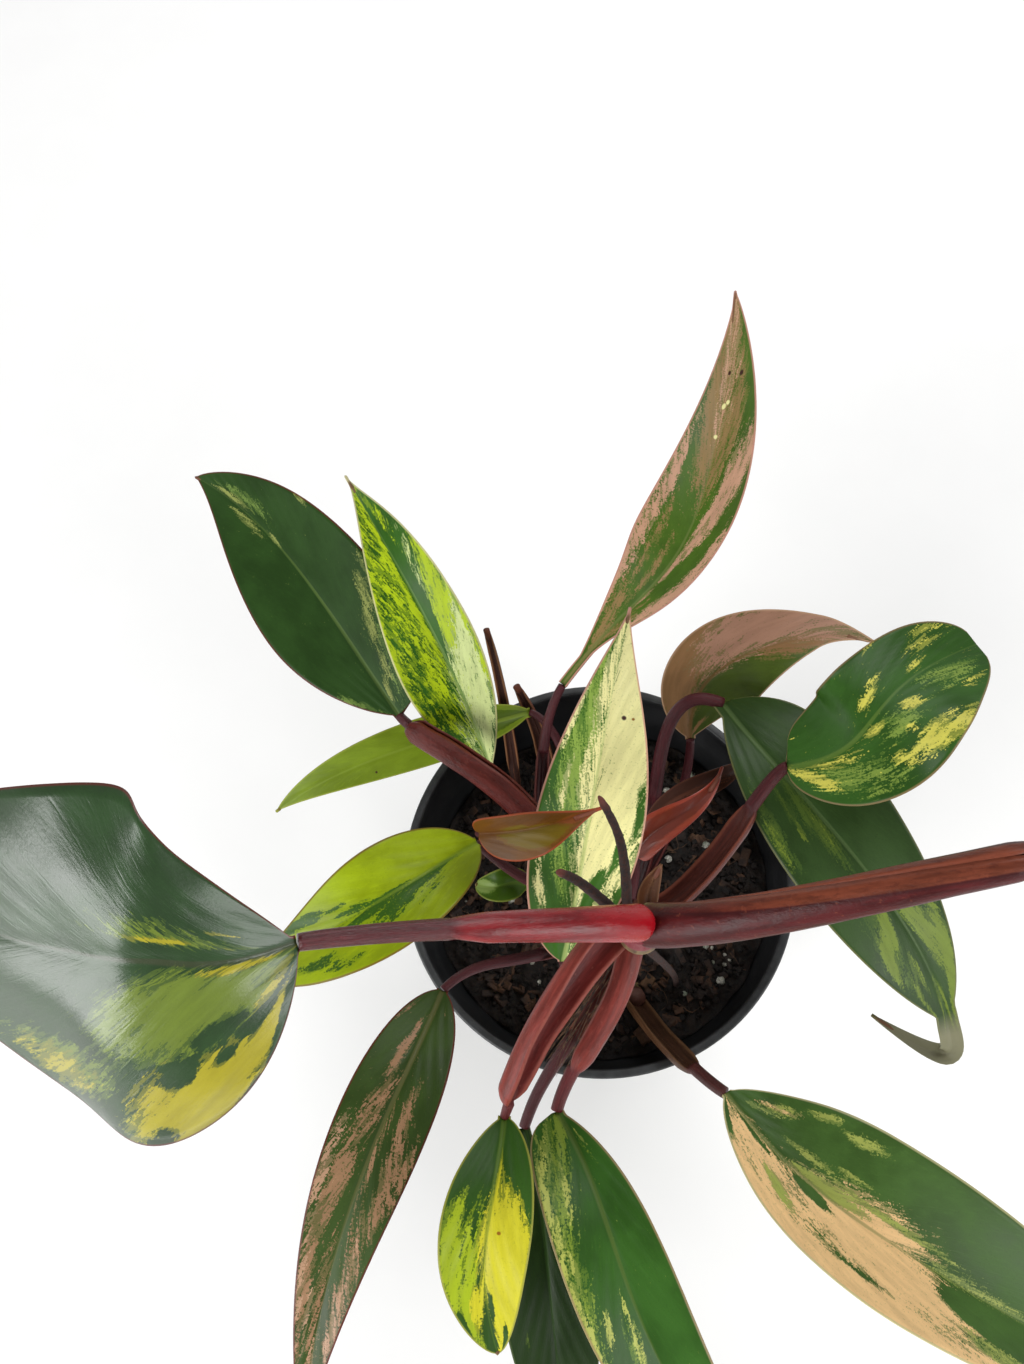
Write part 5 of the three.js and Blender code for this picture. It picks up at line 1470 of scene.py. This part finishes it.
class PLANT_OT_stems(bpy.types.Operator):
    """Add the stems with their leaf-scar rings"""
    bl_idname = "plant.stems"
    bl_label = "Stems"

    def execute(self, context):
        settings = context.scene.plant_stalks
        for seed, (name, stem) in enumerate(STEMS.items()):
            add_finer(name, stem_sheet(stem, settings, seed * 3.1), [stem_material(name, stem)])
        return {"FINISHED"}


class PLANT_OT_roots(bpy.types.Operator):
    """Add the aerial roots"""
    bl_idname = "plant.roots"
    bl_label = "Aerial roots"

    def execute(self, context):
        settings = context.scene.plant_stalks
        for seed, (name, root) in enumerate(ROOTS.items()):
            add_finer(name, root_sheet(root, settings, seed * 2.3), [root_material(name)])
        return {"FINISHED"}


class PLANT_OT_stalks(bpy.types.Operator):
    """Add the leaf stalks and dry sheaths with their winged channels"""
    bl_idname = "plant.stalks"
    bl_label = "Leaf stalks"

    def execute(self, context):
        settings = context.scene.plant_stalks
        for seed, (name, stalk) in enumerate(STALKS.items()):
            route, open_to = stalk["route"], stalk.get("open", UPRIGHT)
            section = stalk_section(stalk, settings.relief / MM, seed * 1.7)
            end = 1 - 0.3 / curve_length(route)
            sheet = tube_sheet(route, open_to, settings.sides, settings.segments, section, end)
            add_finer(name, sheet, [stalk_material(name, stalk, float(seed))])
        return {"FINISHED"}


class PLANT_OT_fibres(bpy.types.Operator):
    """Add the frayed fibres of an old sheath"""
    bl_idname = "plant.fibres"
    bl_label = "Frayed sheath"

    def execute(self, context):
        sheet = frayed_sheath(context.scene.plant_stalks)
        add_piece("frayed_sheath", sheet, [fibre_material()])
        return {"FINISHED"}


class PLANT_OT_leaves(bpy.types.Operator):
    """Add the variegated blades"""
    bl_idname = "plant.leaves"
    bl_label = "Leaf blades"

    def execute(self, context):
        settings = context.scene.plant_leaves
        for seed, (name, leaf) in enumerate(LEAVES.items()):
            add_blade(name, leaf, settings, seed * 13.7)
        return {"FINISHED"}


def add_area(name, place, target, size, power):
    light = bpy.data.lights.new(name, "AREA")
    light.shape = "RECTANGLE"
    light.size, light.size_y = size
    light.energy = power
    lamp = bpy.data.objects.new(name, light)
    lamp.location = place
    lamp.rotation_euler = (Vector(target) - Vector(place)).to_track_quat("-Z", "Y").to_euler()
    bpy.context.scene.collection.objects.link(lamp)


class PLANT_OT_studio(bpy.types.Operator):
    """Add the floor, the lights and the camera"""
    bl_idname = "plant.studio"
    bl_label = "Studio"

    def execute(self, context):
        settings = context.scene.plant_studio
        floor = bmesh.new()
        bmesh.ops.create_grid(floor, x_segments=1, y_segments=1, size=settings.floor_size / 2)
        mesh = bpy.data.meshes.new("studio_floor")
        floor.to_mesh(mesh)
        floor.free()
        graph = Graph("studio_floor")
        speck = graph.grain(30.0, 2.0)
        tone = tuple(settings.floor_color)
        color = graph.blend(graph.ramp(speck, 0.3, 0.7), scaled(tone, 0.99), tone)
        mesh.materials.append(graph.finish(color, 0.9))
        ground = bpy.data.objects.new("studio_floor", mesh)
        bpy.context.scene.collection.objects.link(ground)
        middle = (0.0, 0.0, 0.13)
        add_area("window_light", (-1.2, -0.96, 0.7), middle, (1.2, 0.9), settings.key_power)
        add_area("front_light", (1.1, -1.0, 0.75), middle, (1.0, 0.8), settings.fill_power)
        add_area("back_light", (0.5, 0.9, 1.4), middle, (1.0, 0.8), settings.fill_power)
        world = bpy.data.worlds.new("studio_sky")
        world.use_nodes = True
        background = world.node_tree.nodes["Background"]
        background.inputs["Color"].default_value = (1.0, 1.0, 1.0, 1.0)
        background.inputs["Strength"].default_value = settings.sky
        context.scene.world = world
        context.scene.view_settings.view_transform = "Standard"
        lens = bpy.data.cameras.new("camera")
        lens.lens = CAMERA_LENS
        lens.sensor_width = CAMERA_SENSOR
        lens.clip_start = 0.01
        camera = bpy.data.objects.new("camera", lens)
        right, up = Vector(CAMERA_RIGHT).normalized(), Vector(CAMERA_UP).normalized()
        turn = Matrix((right, up, right.cross(up))).transposed().to_4x4()
        camera.matrix_world = Matrix.Translation(Vector(CAMERA_PLACE) * MM) @ turn
        bpy.context.scene.collection.objects.link(camera)
        context.scene.camera = camera
        return {"FINISHED"}


OPERATORS = (
    PLANT_OT_pot, PLANT_OT_soil, PLANT_OT_stems, PLANT_OT_roots, PLANT_OT_stalks, PLANT_OT_fibres,
    PLANT_OT_leaves, PLANT_OT_studio,
)
GROUPS = {
    "plant_leaves": LeafSettings,
    "plant_stalks": StalkSettings,
    "plant_pot": PotSettings,
    "plant_soil": SoilSettings,
    "plant_studio": StudioSettings,
}


class PLANT_PT_sidebar(bpy.types.Panel):
    """Lists the plant's operators and settings"""
    bl_idname = "PLANT_PT_sidebar"
    bl_label = "Philodendron"
    bl_space_type = "VIEW_3D"
    bl_region_type = "UI"
    bl_category = "Philodendron"

    def draw(self, context):
        for operator in OPERATORS:
            self.layout.operator(operator.bl_idname)
        for name, group in GROUPS.items():
            box = self.layout.box()
            for prop in group.__annotations__:
                box.prop(getattr(context.scene, name), prop)


def register():
    for group in GROUPS.values():
        bpy.utils.register_class(group)
    for operator in OPERATORS:
        bpy.utils.register_class(operator)
    bpy.utils.register_class(PLANT_PT_sidebar)
    for name, group in GROUPS.items():
        setattr(bpy.types.Scene, name, PointerProperty(type=group))


def unregister():
    for name in GROUPS:
        delattr(bpy.types.Scene, name)
    bpy.utils.unregister_class(PLANT_PT_sidebar)
    for operator in reversed(OPERATORS):
        bpy.utils.unregister_class(operator)
    for group in reversed(GROUPS.values()):
        bpy.utils.unregister_class(group)


def main():
    register()
    for operator in OPERATORS:
        group, name = operator.bl_idname.split(".")
        getattr(getattr(bpy.ops, group), name)()


if __name__ == "__main__":
    main()
